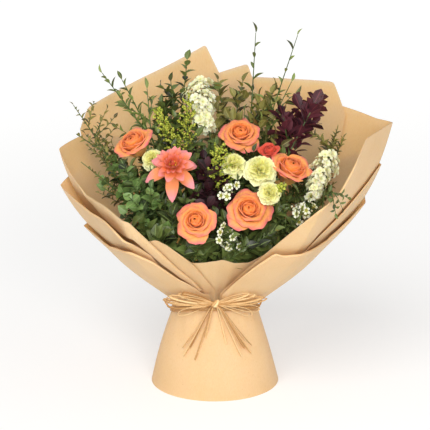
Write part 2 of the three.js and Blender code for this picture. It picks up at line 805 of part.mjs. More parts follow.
function addCarnation(node, foot, axis, size, seed) {
  const matrix = stand(foot, axis, seed);
  addHeart(node, matrix, [[0, -2], [size * 0.15, -2], [size * 0.2, 1], [size * 0.16, size * 0.3], [0, size * 0.4]]);
  carnationRings.forEach(({ count, lift }, layer) => {
    for (let k = 0; k < count; k++) {
      const turn = ((k + layer * 0.4) / count) * 2 * Math.PI;
      addIfClear(
        node,
        [1, 0.86, 0.72].map((share) => () =>
          fringedPetal(matrix, turn, size * share, (Math.PI / count) * 0.94, lift, seed * 9 + layer * 8 + k),
        ),
      );
    }
  });
}

// A floret: a flat star of lobes on a short funnel that sinks into what carries it.
function floret(centre, axis, lobes, tip, notch, depth, turn = 0) {
  const matrix = stand(centre, axis, turn);
  const points = [];
  const faces = [];
  const sides = lobes * 2;
  for (let k = 0; k < sides; k++) {
    const r = k % 2 ? notch : tip;
    const angle = (2 * Math.PI * k) / sides;
    points.push(V(r * Math.cos(angle), r * Math.sin(angle), k % 2 ? 0 : tip * 0.16));
    faces.push([k, (k + 1) % sides, sides], [(k + 1) % sides, k, sides + 1]);
  }
  points.push(V(0, 0, 0.35), V(0, 0, -depth));
  return solid(points.map((p) => p.applyMatrix4(matrix)), faces);
}

// A five-lobed floret on a thin stalk that starts inside the twig.
function stalkedFloret(root, centre, axis, turn) {
  const matrix = stand(centre, axis, turn);
  const points = [];
  for (let k = 0; k < 10; k++) {
    const r = k % 2 ? 3.2 : 6;
    const angle = (Math.PI * k) / 5;
    points.push(V(r * Math.cos(angle), r * Math.sin(angle), k % 2 ? 0 : 1));
  }
  for (let k = 0; k < 5; k++) {
    const angle = (2 * Math.PI * (k + 0.5)) / 5;
    points.push(V(Math.cos(angle), Math.sin(angle), -2.2));
  }
  points.push(V(0, 0, 0.4));
  points.forEach((p) => p.applyMatrix4(matrix));
  points.push(root);
  const faces = [];
  for (let k = 0; k < 5; k++) {
    const [tip, notch, next] = [2 * k, 2 * k + 1, (2 * k + 2) % 10];
    const [neck, before] = [10 + k, 10 + ((k + 4) % 5)];
    faces.push([tip, notch, 15], [notch, next, 15], [notch, tip, neck], [neck, tip, before], [next, notch, neck]);
    faces.push([neck, before, 16]);
  }
  return solid(points, faces);
}

function spindle(from, to, radius, sides = 5) {
  const axis = to.clone().sub(from);
  const profile = [[0, 0], [radius * 0.8, 0.12], [radius, 0.5], [radius * 0.6, 0.88], [0, 1]];
  const lathe = new THREE.LatheGeometry(profile.map(([r, t]) => new THREE.Vector2(r, t * axis.length())), sides);
  return solidOfGeometry(lathe.rotateX(Math.PI / 2), stand(from, axis));
}

// Florets all round a spike, by the golden angle, over a slim middle.
function addSpike(node, from, to, count, spread, petalSize) {
  add(node, spindle(from, to, spread * 0.55));
  const axis = to.clone().sub(from);
  for (let k = 0; k < count; k++) {
    const t = 0.04 + (0.93 * k) / (count - 1);
    const side = V(1, 0, 0).applyMatrix4(stand(V(0, 0, 0), axis, k * goldenAngle));
    const out = spread * 0.72 * Math.sin(Math.PI * (0.24 + 0.62 * t));
    const way = side.clone().multiplyScalar(1).addScaledVector(axis.clone().normalize(), 0.15 + t * 0.9);
    const centre = from.clone().addScaledVector(axis, t).addScaledVector(side, out);
    addIfClear(
      node,
      [1, 0.85, 0.7, 0.55].map((share) => () =>
        floret(centre, way, 4, petalSize * share, petalSize * 0.45 * share, out * 0.9 + 1, k),
      ),
      true,
    );
  }
}

// Plants

// Blooms on one stem: where the head's middle is, which way it faces, and its radius.
const blooms = [
  { name: "rose_left", kind: "rose", head: V(-108, -12, 338), way: V(-0.4, -0.42, 0.82), radius: 31, open: 0.8 },
  { name: "rose_top", kind: "rose", head: V(34, 2, 344), way: V(0, -0.62, 0.78), radius: 32, open: 1 },
  { name: "rose_right", kind: "rose", head: V(100, -36, 308), way: V(0.32, -0.4, 0.86), radius: 32, open: 0.8 },
  { name: "rose_low_left", kind: "rose", head: V(-25, -88, 252), way: V(-0.1, -0.86, 0.5), radius: 30, open: 1 },
  { name: "rose_low_right", kind: "rose", head: V(44, -82, 266), way: V(0.12, -0.78, 0.62), radius: 33, open: 1 },
  { name: "rose_bud", kind: "bud", head: V(73, -26, 328), way: V(-0.2, -0.45, 0.87), radius: 12, size: 27, open: 0.9 },
  { name: "lily", kind: "lily", head: V(-55, -58, 316), way: V(-0.06, -0.8, 0.6), radius: 26 },
  { name: "carnation_right", kind: "carnation", head: V(60, -56, 314), way: V(0.1, -0.72, 0.68), radius: 20 },
  { name: "carnation_low", kind: "carnation", head: V(72, -78, 287), way: V(0.3, -0.8, 0.5), radius: 15 },
  { name: "carnation_middle", kind: "carnation", head: V(25, -44, 318), way: V(0, -0.6, 0.8), radius: 16 },
  { name: "carnation_left", kind: "carnation", head: V(-84, -30, 322), way: V(-0.3, -0.7, 0.65), radius: 14 },
];
const bloomDepth = { rose: 0.75, bud: 0.9, lily: 0.35, carnation: 0.55 };

// Spikes of small florets: foot and tip of the spike.
const spikes = [
  { name: "stock_top", from: V(-7, 18, 352), to: V(-22, 42, 414), count: 12, spread: 17, size: 11 },
  { name: "stock_right", from: V(121, -52, 260), to: V(154, -26, 330), count: 12, spread: 17, size: 11 },
];

// Golden plumes of tiny buds: where the stem branches, and each branch's tip, side twigs and their reach.
const plumes = [
  { name: "goldenrod_top", from: V(-42, -8, 312), tips: [[V(-33, 26, 392), 6, 23], [V(-78, 12, 376), 4, 17]] },
  { name: "goldenrod_middle", from: V(2, -40, 272), tips: [[V(-2, -54, 338), 5, 22]] },
];

// Sprays of five-lobed waxflowers: the foot of the spray and its middle.
const waxSprays = [
  { name: "waxflower_front", from: V(16, -60, 196), to: V(20, -96, 238), count: 8, reach: 20 },
  { name: "waxflower_middle", from: V(16, -60, 262), to: V(22, -84, 298), count: 5, reach: 10 },
  { name: "waxflower_right", from: V(106, -50, 232), to: V(124, -76, 266), count: 7, reach: 15 },
];

// Leafy stems: where they branch, the tip of each twig, and the leaves on it.
const plum = { length: 31, width: 20, form: "spoon", pitch: 0.7 };
const broad = { length: 29, width: 18, form: "oval", pitch: 0.9 };
const round = { length: 22, width: 19, form: "round", pitch: 0.95 };
const willow = { length: 25, width: 9, form: "narrow", pitch: 0.7 };
const small = { length: 15, width: 9, form: "narrow", pitch: 0.8 };
const needle = { length: 15, width: 3.6, form: "narrow", pitch: 0.7 };
const leafyStems = [
  { name: "smokebush_right", from: V(100, 2, 322), tips: [[V(136, 18, 402), 7, plum], [V(92, 6, 384), 5, plum]] },
  { name: "smokebush_centre", from: V(-8, -24, 262), tips: [[V(-10, -62, 318), 6, plum]] },
  {
    name: "ruscus_left",
    from: V(-86, 14, 340),
    tips: [[V(-152, 30, 426), 6, willow], [V(-92, 34, 404), 4, willow], [V(-126, 36, 416), 3, willow]],
  },
  {
    name: "myrtle_left",
    from: V(-146, 0, 322),
    tips: [[V(-190, 10, 386), 7, small], [V(-186, -6, 350), 5, small]],
  },
  {
    name: "box_left",
    from: V(-112, -28, 258),
    tips: [[V(-178, -34, 318), 5, small], [V(-158, -16, 340), 4, small], [V(-150, -50, 288), 4, small]],
  },
  {
    name: "pittosporum_left",
    from: V(-84, -46, 236),
    tips: [[V(-120, -64, 322), 5, round], [V(-112, -88, 284), 4, round], [V(-84, -72, 292), 3, round]],
  },
  {
    name: "salal_left",
    from: V(-60, -50, 200),
    tips: [[V(-118, -92, 252), 5, broad], [V(-80, -104, 238), 4, broad], [V(-56, -80, 264), 3, broad]],
  },
  {
    name: "salal_front",
    from: V(2, -46, 172),
    tips: [[V(-34, -98, 220), 5, broad], [V(46, -102, 224), 4, broad], [V(78, -94, 240), 4, broad]],
  },
  {
    name: "jasmine_right",
    from: V(80, -46, 214),
    tips: [[V(148, -74, 270), 6, small], [V(108, -90, 254), 4, small], [V(92, -80, 268), 3, small]],
  },
  {
    name: "rosemary_right",
    from: V(138, -24, 268),
    tips: [[V(172, -12, 346), 8, needle], [V(164, 8, 352), 5, needle]],
  },
  { name: "myrtle_tall", from: V(48, 40, 338), tips: [[V(55, 46, 478), 9, { ...small, length: 17 }]] },
  {
    name: "ruscus_tall",
    from: V(64, 28, 334),
    tips: [[V(111, 38, 476), 8, willow], [V(104, 44, 412), 4, willow]],
  },
  {
    name: "eucalyptus_left",
    from: V(-50, 20, 316),
    tips: [[V(-72, 34, 384), 5, broad], [V(-38, 56, 440), 6, broad], [V(-60, 46, 412), 3, round]],
  },
  {
    name: "eucalyptus_right",
    from: V(20, 34, 326),
    tips: [[V(4, 54, 412), 5, round], [V(38, 54, 410), 5, broad], [V(76, 30, 384), 5, round]],
  },
];

function gatherPlants() {
  const gathered = [];
  for (const b of blooms) {
    const axis = b.way.clone().normalize();
    const foot = b.head.clone().addScaledVector(axis, -b.radius * bloomDepth[b.kind]);
    gathered.push({ ...b, way: axis, foot, top: foot.clone().addScaledVector(axis, -2.4) });
  }
  for (const s of [...spikes, ...waxSprays]) {
    gathered.push({ ...s, top: s.from, way: s.to.clone().sub(s.from).normalize() });
  }
  for (const s of [...plumes, ...leafyStems]) {
    const middle = s.tips.reduce((sum, [tip]) => sum.add(tip), V(0, 0, 0)).divideScalar(s.tips.length);
    gathered.push({ ...s, top: s.from, way: middle.sub(s.from).normalize() });
  }
  return gathered;
}

const plants = gatherPlants();
assignSlots(plants);
routeStems(plants);
const plantNamed = (name) => plants.find((p) => p.name === name);

// The whole of a plant's stem, from its cut end to its head.
function addStem(node, plant, radius, topRadius, sides) {
  const points = [stemFoot(plant.slot), ...plant.route];
  add(node, stemSolid(points, radius, topRadius, sides, plant.way));
}

function polyline(points) {
  const path = new THREE.CurvePath();
  for (let i = 0; i + 1 < points.length; i++) path.add(new THREE.LineCurve3(points[i], points[i + 1]));
  return path;
}

// A thin twig between two points, bowed up by a rise, and bent aside where it would touch another plant.
function addTwig(node, from, to, rise, radius, steps = 3) {
  const bends = [V(0, 0, 0), V(0, 0, 9), V(9, 0, 0), V(-9, 0, 0), V(0, 9, 0), V(0, -9, 0), V(12, 0, 12), V(-12, 0, 12)];
  for (const bend of bends) {
    const middle = from.clone().lerp(to, 0.5).add(V(0, 0, rise)).add(bend);
    const points = new THREE.QuadraticBezierCurve3(from, middle, to).getPoints(steps);
    const sunk = from.clone().addScaledVector(points[1].clone().sub(from).normalize(), -twigSink);
    const made = stemSolid([sunk, ...points.slice(1)], radius, radius * 0.55, 3);
    if (bend === bends.at(-1) || isClear(node, made)) {
      add(node, made);
      return polyline(points);
    }
  }
}

const leafTurns = [0, 0.5, -0.5, 1, -1, 1.6];

// Leaves along a twig, turned by the golden angle, with one at the tip.
function addLeaves(node, curve, count, kind, seed) {
  for (let k = 0; k < count; k++) {
    const t = k === count - 1 ? 1 : mix(0.16, 0.94, k / (count - 1));
    const along = curve.getTangent(t);
    const root = curve.getPoint(t).addScaledVector(along, k === count - 1 ? -1.5 : -0.3);
    const pitch = k === count - 1 ? 0.12 : kind.pitch * (0.8 + 0.4 * draw(seed, k));
    const grown = (0.78 + 0.35 * draw(seed + 1, k)) * (1 - 0.25 * t);
    addIfClear(
      node,
      leafTurns.map((turn, attempt) => () => {
        const side = V(1, 0, 0).applyMatrix4(stand(V(0, 0, 0), along, k * goldenAngle + turn));
        const way = along.clone().multiplyScalar(Math.cos(pitch)).addScaledVector(side, Math.sin(pitch));
        const face = along.clone().multiplyScalar(Math.sin(pitch)).addScaledVector(side, -Math.cos(pitch));
        const size = grown * (attempt > 2 ? 0.85 : 1);
        return leaf(root, way, face, kind.length * size, kind.width * size, kind.form);
      }),
      true,
    );
  }
}

function addBlooms() {
  for (const b of blooms) addStem(`${b.name}_stem`, plantNamed(b.name), stemRadius, 1.9, 4);
  blooms.forEach((b, k) => {
    const plant = plantNamed(b.name);
    const petals = b.kind === "bud" ? roseRings.slice(0, 2) : roseRings;
    if (b.open) addRose(`${b.name}_bloom`, plant.foot, plant.way, b.size ?? b.radius, b.open, petals, k + 1);
    if (b.kind === "lily") addLily(`${b.name}_bloom`, plant.foot, plant.way);
    if (b.kind === "carnation") addCarnation(`${b.name}_bloom`, plant.foot, plant.way, b.radius, k + 1);
  });
}

function addSpikes() {
  for (const s of spikes) {
    const plant = plantNamed(s.name);
    plant.route[stemPoints].addScaledVector(plant.way, -0.5);
    addStem(`${s.name}_stem`, plant, stemRadius, 1.8, 4);
    addSpike(`${s.name}_bloom`, s.from, s.to, s.count, s.spread, s.size);
  }
}

function addPlumes() {
  for (const s of plumes) {
    addStem(s.name, plantNamed(s.name), twigRadius, 1.5, 3);
    for (const [tip, twigs, reach] of s.tips) {
      const branch = addTwig(s.name, s.from, tip, 0, 1.4, 2);
      for (let k = 0; k < twigs; k++) {
        const t = 0.12 + (0.86 * k) / (twigs - 1);
        const along = branch.getTangent(t);
        const side = V(1, 0, 0).applyMatrix4(stand(V(0, 0, 0), along, k * goldenAngle));
        const root = branch.getPoint(t);
        const out = reach * (1 - 0.55 * t);
        const end = root.clone().addScaledVector(side, out * 0.8).addScaledVector(along, out * 0.75);
        addIfClear(s.name, [1, 0.75].map((share) => () => beadedTwig(root, root.clone().lerp(end, share))));
      }
    }
  }
}

const beads = [[0.06, 1], [0.4, 2.7], [0.54, 1.5], [0.7, 3], [0.84, 1.5], [0.98, 2.2]];

// A short twig that swells at each of its tight clusters of buds.
function beadedTwig(root, end) {
  const rings = beads.map(([share, radius], k) => {
    const place = stand(root.clone().lerp(end, share), end.clone().sub(root), k * 0.8);
    return [0, 1, 2, 3].map((side) => {
      const angle = (side * Math.PI) / 2;
      return V(radius * Math.cos(angle), radius * Math.sin(angle), 0).applyMatrix4(place);
    });
  });
  return sleeve(rings);
}

function addWaxSprays() {
  waxSprays.forEach((s, seed) => {
    addStem(s.name, plantNamed(s.name), twigRadius, 1.2, 3);
    const stem = addTwig(s.name, s.from, s.to, 2, 1.2, 2);
    for (let k = 0; k < s.count; k++) {
      const t = 0.45 + (0.55 * k) / (s.count - 1);
      const along = stem.getTangent(t);
      const side = V(1, 0, 0).applyMatrix4(stand(V(0, 0, 0), along, k * goldenAngle + seed));
      const root = stem.getPoint(t);
      const reach = s.reach * (0.7 + 0.5 * draw(seed, k));
      const end = root.clone().addScaledVector(side, reach * 0.75).addScaledVector(along, reach * 0.5);
      const way = side.clone().add(V(0, -0.9, 0.4));
      addIfClear(
        s.name,
        [1, 0.8].map((share) => () => stalkedFloret(root, root.clone().lerp(end, share), way, k)),
        true,
      );
    }
    addLeaves(s.name, stem, 3, { length: 13, width: 1.8, form: "narrow", pitch: 0.6 }, seed + 40);
  });
}

function addLeafyStems() {
  for (const s of leafyStems) addStem(s.name, plantNamed(s.name), twigRadius, 1.5, 3);
  leafyStems.forEach((s, seed) => {
    s.tips.forEach(([tip, count, kind], k) => {
      const twig = addTwig(s.name, s.from, tip, 6 * (draw(seed, k) - 0.3), 1.5);
      addLeaves(s.name, twig, count, kind, seed * 10 + k);
    });
  });
}

for (const [name, sheet] of Object.entries(sheets)) add(name, paperSheet(sheet));
add("paper_skirt", skirt());
add("raffia_band", raffiaBand());
raffiaBow();
add(
  "stem_binding",
  ringSolid(14, (phi) =>
    [[bindingInner, -4], [bindingOuter, -4], [bindingOuter, 4], [bindingInner, 4]].map(([r, z]) =>
      V(r * Math.sin(phi), -r * Math.cos(phi), bindingHeight + z),
    ),
  ),
);
addBlooms();
addSpikes();
addPlumes();
addWaxSprays();
addLeafyStems();

// The object

function colourOf(node) {
  const rules = [
    [/^paper/, "paper"],
    [/^raffia/, "raffia"],
    [/binding/, "twine"],
    [/_stem$/, "stem"],
    [/^rose_bud/, "bud"],
    [/^rose/, "rose"],
    [/^lily/, "salmon"],
    [/^carnation/, "lemon"],
    [/^stock/, "cream"],
    [/^goldenrod/, "golden"],
    [/^waxflower/, "wax"],
    [/^smokebush/, "plum"],
  ];
  return colours[(rules.find(([test]) => test.test(node)) ?? [null, "leaf"])[1]];
}

// The corners and faces of a solid, with corners that all but touch made one.
function weldedGeometry(made) {
  const { vertProperties, triVerts, numProp } = made.getMesh();
  const position = new Float32Array((vertProperties.length / numProp) * 3);
  for (let i = 0; i < position.length / 3; i++) {
    position.set(vertProperties.subarray(i * numProp, i * numProp + 3), i * 3);
  }
  const raw = new THREE.BufferGeometry();
  raw.setAttribute("position", new THREE.BufferAttribute(position, 3));
  raw.setIndex(new THREE.BufferAttribute(triVerts, 1));
  const geometry = mergeVertices(raw, weld);
  const index = [...geometry.index.array];
  const kept = [];
  for (let i = 0; i < index.length; i += 3) {
    const face = index.slice(i, i + 3);
    if (new Set(face).size === 3) kept.push(...face);
  }
  geometry.setIndex(kept);
  return geometry;
}

const largest = (made) => made.decompose().sort((a, b) => b.volume() - a.volume())[0];

// The node's pieces fused into one body, without the tiny facets where they meet; a scrap that the fusing
// leaves loose is dropped.
function nodeMesh(node, list) {
  const fused = largest(wasm.Manifold.union(list.map((piece) => piece.made)));
  const again = largest(solidOfGeometry(weldedGeometry(fused), new THREE.Matrix4()));
  const tidied = list.length > 1 ? largest(again.simplify(shortEdge)) : again;
  const geometry = weldedGeometry(tidied);
  geometry.computeVertexNormals();
  const material = new THREE.MeshStandardMaterial({ color: colourOf(node), roughness: 0.8, metalness: 0 });
  const mesh = new THREE.Mesh(geometry, material);
  mesh.name = node;
  return mesh;
}

const bouquet = new THREE.Group();
bouquet.name = "bouquet";
for (const [node, list] of pieces) bouquet.add(nodeMesh(node, list));
const middle = new THREE.Box3().setFromObject(bouquet).getCenter(V(0, 0, 0));
for (const mesh of bouquet.children) mesh.geometry.translate(-middle.x, -middle.y, 0);

export default bouquet;
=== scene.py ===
# %% [markdown]
# # A mixed bouquet in kraft paper
# A florist makes this bouquet by crossing every stem at one point in a spiral, tying them there, and
# wrapping sheets of kraft paper round the result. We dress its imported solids: each plain solid is replaced
# by a finer piece in the same place. First the solids are loaded, and their box is kept for later.

import bpy
import json
import math
import numpy as np
from mathutils import Matrix, Vector


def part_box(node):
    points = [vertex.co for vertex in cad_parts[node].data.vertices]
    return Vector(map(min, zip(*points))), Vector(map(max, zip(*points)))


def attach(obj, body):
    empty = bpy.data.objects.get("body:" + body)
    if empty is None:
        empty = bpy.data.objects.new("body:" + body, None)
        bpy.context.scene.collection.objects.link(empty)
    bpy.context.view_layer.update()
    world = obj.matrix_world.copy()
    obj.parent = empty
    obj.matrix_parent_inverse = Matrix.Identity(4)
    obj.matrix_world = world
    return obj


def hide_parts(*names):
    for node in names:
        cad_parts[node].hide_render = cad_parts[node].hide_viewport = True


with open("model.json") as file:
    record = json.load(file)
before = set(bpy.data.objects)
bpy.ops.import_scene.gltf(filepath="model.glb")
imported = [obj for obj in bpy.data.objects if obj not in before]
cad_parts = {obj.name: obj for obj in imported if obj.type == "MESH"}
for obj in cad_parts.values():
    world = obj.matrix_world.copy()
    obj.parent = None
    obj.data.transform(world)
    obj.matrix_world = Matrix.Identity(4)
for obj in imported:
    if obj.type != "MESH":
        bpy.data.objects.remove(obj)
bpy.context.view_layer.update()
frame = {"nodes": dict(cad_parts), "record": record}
nodes = frame["nodes"]
print(len(nodes), "solids in the frame")

# %% [markdown]
# ## Where things are
# The bouquet was drawn in millimetres round the middle of the paper skirt, and its solids were then moved
# so that the whole outline is centred. The skirt's own box tells us by how much, so that every piece below
# can be drawn in millimetres round the skirt's middle.

# %% From millimetres round the skirt to metres in the frame
skirt_low, skirt_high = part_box("paper_skirt")
middle = np.array([(skirt_low.x + skirt_high.x) / 2, (skirt_low.y + skirt_high.y) / 2, 0.0])


def to_frame(points):
    """From millimetres round the skirt to metres in the frame."""
    return np.asarray(points, float) * 0.001 + middle


def to_skirt(points):
    """The other way."""
    return (np.asarray(points, float) - middle) * 1000


print("skirt's middle, in metres:", middle.round(4))

# %% [markdown]
# ## Camera, light and floor
# The photo was taken from a little above, with a long lens, on a white studio surface. One pixel of the
# photo is 1.36 mm on the bouquet. A wide, soft sun shines from the upper left in front, a round lamp hangs
# high in front of the flowers, and a bright world fills the shadows, as white studio walls do.

# %% Camera
photo_pixels, mm_per_pixel, sensor = 430, 1.36, 36
distance = 2200
elevation = math.radians(15)
look_at = np.array([0, 0, 236])
from_camera = np.array([0, math.cos(elevation), -math.sin(elevation)])


def new_object(name, data):
    """An object in the scene, round a camera, a light or a mesh."""
    made = bpy.data.objects.new(name, data)
    bpy.context.scene.collection.objects.link(made)
    return made


camera = new_object("camera", bpy.data.cameras.new("camera"))
camera.data.sensor_width = sensor
camera.data.lens = sensor * distance / (photo_pixels * mm_per_pixel)
camera.location = to_frame(look_at - from_camera * distance)
camera.rotation_euler = (math.pi / 2 - elevation, 0, 0)
bpy.context.scene.camera = camera
print("lens", round(camera.data.lens, 1), "mm")

# %% Lights and world
def new_light(name, kind, power, tint, way, place=(0, 0, 0)):
    """A light that shines along a way."""
    light = new_object(name, bpy.data.lights.new(name, kind))
    light.data.energy = power
    light.data.color = tint
    light.location = place
    light.rotation_euler = Vector(way).to_track_quat("-Z", "Y").to_euler()
    return light.data


lamp_place, flowers = Vector((0.25, -1.75, 0.85)), Vector((0, 0, 0.36))
lamp = new_light("front_light", "AREA", 17, (1, 0.98, 0.96), flowers - lamp_place, lamp_place)
lamp.shape, lamp.size = "DISK", 0.8
sun = new_light("key_light", "SUN", 1.25, (1, 0.99, 0.96), (0.7, 1.65, -1.95))
sun.angle = math.radians(38)
world = bpy.data.worlds.new("studio")
world.use_nodes = True
walls = world.node_tree.nodes["Background"].inputs
walls["Color"].default_value, walls["Strength"].default_value = (1, 1, 1, 1), 0.5
bpy.context.scene.world = world
bpy.context.scene.view_settings.view_transform = "Standard"
print("lights:", lamp.name, "and", sun.name)

# %% [markdown]
# ## Two small helpers for nodes and colours
# Colours are written as the hex values that a paint chart would give, and turned to Blender's linear
# numbers by one function. Another adds a node to any tree, with its settings and links, so that each
# material and each geometry tree below reads as a list of what it is made of. Where a node stands as an
# input, its first output is meant, such as a noise texture's Fac or a colour ramp's Color.

# %% Colours and nodes
def colour(hex_value):
    """An sRGB hex value as Blender's linear red, green, blue and alpha."""
    channels = [int(hex_value[i : i + 2], 16) / 255 for i in (1, 3, 5)]
    return [c / 12.92 if c <= 0.04045 else ((c + 0.055) / 1.055) ** 2.4 for c in channels] + [1]


def feed(tree, node, inputs):
    """Gives a node's inputs a value, a hex colour, a socket, or another node's first output."""
    for key, value in inputs.items():
        if isinstance(value, bpy.types.Node):
            value = next(socket for socket in value.outputs if socket.enabled)
        if isinstance(value, bpy.types.NodeSocket):
            tree.links.new(value, node.inputs[key])
        else:
            node.inputs[key].default_value = colour(value) if str(value).startswith("#") else value


def add_node(tree, kind, inputs=None, stops=(), **settings):
    """Adds a node with its settings, its inputs, and the (place, colour) stops of a colour ramp."""
    made = tree.nodes.new(kind)
    for key, value in settings.items():
        setattr(made, key, value)
    feed(tree, made, inputs or {})
    for k, (place, value) in enumerate(stops):
        ramp = made.color_ramp.elements
        stop = ramp[k] if k < 2 else ramp.new(place)
        stop.position = place
        stop.color = colour(value) if isinstance(value, str) else (value, value, value, 1)
    return made


def new_finish(name, roughness, specular=0.5, sheen=0.0, subsurface=0.0, glow=0.004):
    """A material, its tree, and its Principled shader with the even values set."""
    finish = bpy.data.materials.new(name)
    finish.use_nodes = True
    tree = finish.node_tree
    shader = tree.nodes["Principled BSDF"]
    feed(tree, shader, {"Roughness": roughness, "Specular IOR Level": specular, "Sheen Weight": sheen})
    feed(tree, shader, {"Subsurface Weight": subsurface, "Subsurface Scale": glow})
    return finish, tree, shader


print("orange is", [round(c, 3) for c in colour("#F58A45")])

# %% [markdown]
# ## The floor
# A plain white surface, large enough to fill the view. It glows a little, which is painted light, as a lit
# backdrop looks, and it glows less near the bouquet, which paints shade where the soft shadow falls. It is
# only a stage, so it isn't part of the object.

# %% Floor
floor_finish, tree, shader = new_finish("white_surface", 0.9, 0.1)
speck = add_node(tree, "ShaderNodeTexNoise", {"Scale": 40.0, "Detail": 2.0})
tint = add_node(tree, "ShaderNodeValToRGB", {"Fac": speck}, [(0.3, "#CFCFCF"), (0.7, "#D1D1D1")])
place = add_node(tree, "ShaderNodeTexCoord").outputs["Object"]
reach = add_node(tree, "ShaderNodeMapping", {"Vector": place, "Scale": (0.4, 0.4, 0.4)})
near = add_node(tree, "ShaderNodeTexGradient", {"Vector": reach}, gradient_type="SPHERICAL").outputs["Fac"]
# The glow is painted light. It is weaker near the bouquet, so that it paints shade round the foot.
glow = add_node(tree, "ShaderNodeMapRange", {"Value": near, "To Min": 0.84, "To Max": 0.57})
feed(tree, shader, {"Base Color": tint, "Emission Color": tint, "Emission Strength": glow})
floor_mesh = bpy.data.meshes.new("floor")
floor_mesh.from_pydata([(-40, -40, 0), (40, -40, 0), (40, 40, 0), (-40, 40, 0)], [], [(0, 1, 2, 3)])
floor_mesh.materials.append(floor_finish)
floor = new_object("floor", floor_mesh)
print("floor is", floor.dimensions.x, "by", floor.dimensions.y, "m")

# %% [markdown]
# ## Meshes from grids
# Paper, petals and leaves are all thin sheets: a grid of points, bent into shape. A real sheet has two
# faces, so each grid is given a back face. The two share their border, which closes the sheet and leaves it
# with a thin edge. A Solidify modifier would do it too, but would add a rim of faces to every petal. At
# two corners the front and back quads have all but one point in common, so their corners are listed in an
# order that cuts both through the corner, and no two triangles coincide. The place on the grid is kept as
# a UV map, so that a material can follow the sheet.

# %% Grid helpers
def new_piece(name, points, faces, uv=None, finish=None, tone=None, sharp=50, placed=to_frame):
    """An object in the frame from points in millimetres round the skirt."""
    mesh = bpy.data.meshes.new(name)
    mesh.from_pydata(placed(points).tolist(), [], [tuple(int(i) for i in face) for face in faces])
    if uv is not None:
        index = np.empty(len(mesh.loops), np.int32)
        mesh.loops.foreach_get("vertex_index", index)
        corners = mesh.uv_layers.new(name="sheet").data
        corners.foreach_set("uv", np.asarray(uv, np.float32)[index].ravel())
    if tone is not None:
        tones = mesh.attributes.new("tone", "FLOAT", "POINT").data
        tones.foreach_set("value", np.asarray(tone, np.float32))
    mesh.shade_smooth()
    mesh.set_sharp_from_angle(angle=math.radians(sharp))
    if finish:
        mesh.materials.append(finish)
    return new_object(name, mesh)


def unit(vectors):
    """Vectors brought to length 1."""
    return vectors / np.maximum(np.linalg.norm(vectors, axis=-1, keepdims=True), 1e-9)


def closed_sheet(grid, thickness):
    """Points, faces and UVs of a sheet: a grid of points, a back face, and a shared border."""
    rows, columns = grid.shape[:2]
    normal = unit(np.cross(np.gradient(grid, axis=1), np.gradient(grid, axis=0)))
    front = np.arange(rows * columns).reshape(rows, columns)
    back = front.copy()
    back[1:-1, 1:-1] = rows * columns + np.arange((rows - 2) * (columns - 2)).reshape(rows - 2, columns - 2)
    under = (grid - normal * thickness)[1:-1, 1:-1]
    v, u = np.meshgrid(np.linspace(0, 1, rows), np.linspace(0, 1, columns), indexing="ij")
    uv = np.stack([u, v], axis=2)
    faces = []
    for side, order in ((front, [0, 1, 2, 3]), (back, [0, 3, 2, 1])):
        quads = np.stack([side[:-1, :-1], side[:-1, 1:], side[1:, 1:], side[1:, :-1]], axis=2)[..., order]
        for corner in ((0, -1), (-1, 0)):
            quads[corner] = np.roll(quads[corner], 1)
        faces.append(quads.reshape(-1, 4))
    points = np.vstack([grid.reshape(-1, 3), under.reshape(-1, 3)])
    return points, np.vstack(faces), np.vstack([uv.reshape(-1, 2), uv[1:-1, 1:-1].reshape(-1, 2)])


def stacked(sheets):
    """Several (points, faces, uv, tone) as one."""
    starts = np.cumsum([0] + [len(sheet[0]) for sheet in sheets])
    faces = [sheet[1] + start for sheet, start in zip(sheets, starts)]
    tones = [np.full(len(sheet[0]), sheet[3]) for sheet in sheets]
    points, uv = np.vstack([sheet[0] for sheet in sheets]), np.vstack([sheet[2] for sheet in sheets])
    return points, np.vstack(faces), uv, np.concatenate(tones)


def joined(name, parts):
    """Several objects as one, with their materials kept."""
    parts = [part for part in parts if part and len(part.data.polygons)]
    with bpy.context.temp_override(active_object=parts[0], selected_editable_objects=parts):
        bpy.ops.object.join()
    parts[0].name = name
    return parts[0]


def smooth_step(low, high, value):
    """0 below low, 1 above high, and a soft slope between them."""
    t = np.clip((np.asarray(value, float) - low) / (high - low), 0, 1)
    return t * t * (3 - 2 * t)


print("a 3 by 4 grid closes with", len(closed_sheet(np.zeros((3, 4, 3)), 0.1)[1]), "faces")

# %% [markdown]
# ## Kraft paper
# Kraft paper is long brown wood fibre, smooth on one side. Close up it has faint fibres a few millimetres
# long and darker specks; from a step away it is an even, warm tan with a soft sheen on its bends. It lets a
# little light through, so deep folds glow golden. Noise textures give all of this, because the fibres lie
# at random: clouds about 70 mm wide, fibres of 1.1 by 6 mm, specks of 2.4 mm and a crumple of 17 mm. The
# fibres and specks are drawn coarser than real ones, so that they show in the render.

# %% Paper finish
paper_finish, tree, shader = new_finish("kraft_paper", 0.62, 0.35, subsurface=0.3, glow=0.003)
place = add_node(tree, "ShaderNodeTexCoord").outputs["Object"]
clouds = add_node(tree, "ShaderNodeTexNoise", {"Vector": place, "Scale": 14.0, "Detail": 4.0})
stretch = add_node(tree, "ShaderNodeMapping", {"Vector": place, "Scale": (900, 900, 160)})
fibres = add_node(tree, "ShaderNodeTexNoise", {"Vector": stretch, "Scale": 1.0, "Detail": 6.0})
flecks = add_node(tree, "ShaderNodeTexNoise", {"Vector": place, "Scale": 420.0, "Detail": 2.0})
tan = add_node(tree, "ShaderNodeValToRGB", {"Fac": clouds}, [(0.3, "#E0B888"), (0.7, "#E6C094")])
grain = add_node(tree, "ShaderNodeValToRGB", {"Fac": fibres}, [(0.32, "#DDB27C"), (0.62, "#FFFFFF")])
speckle = add_node(tree, "ShaderNodeValToRGB", {"Fac": flecks}, [(0.22, "#A87B48"), (0.34, "#FFFFFF")])
stained = dict(data_type="RGBA", blend_type="MULTIPLY")
fibred = add_node(tree, "ShaderNodeMix", {"Factor": 0.12, "A": tan, "B": grain}, **stained)
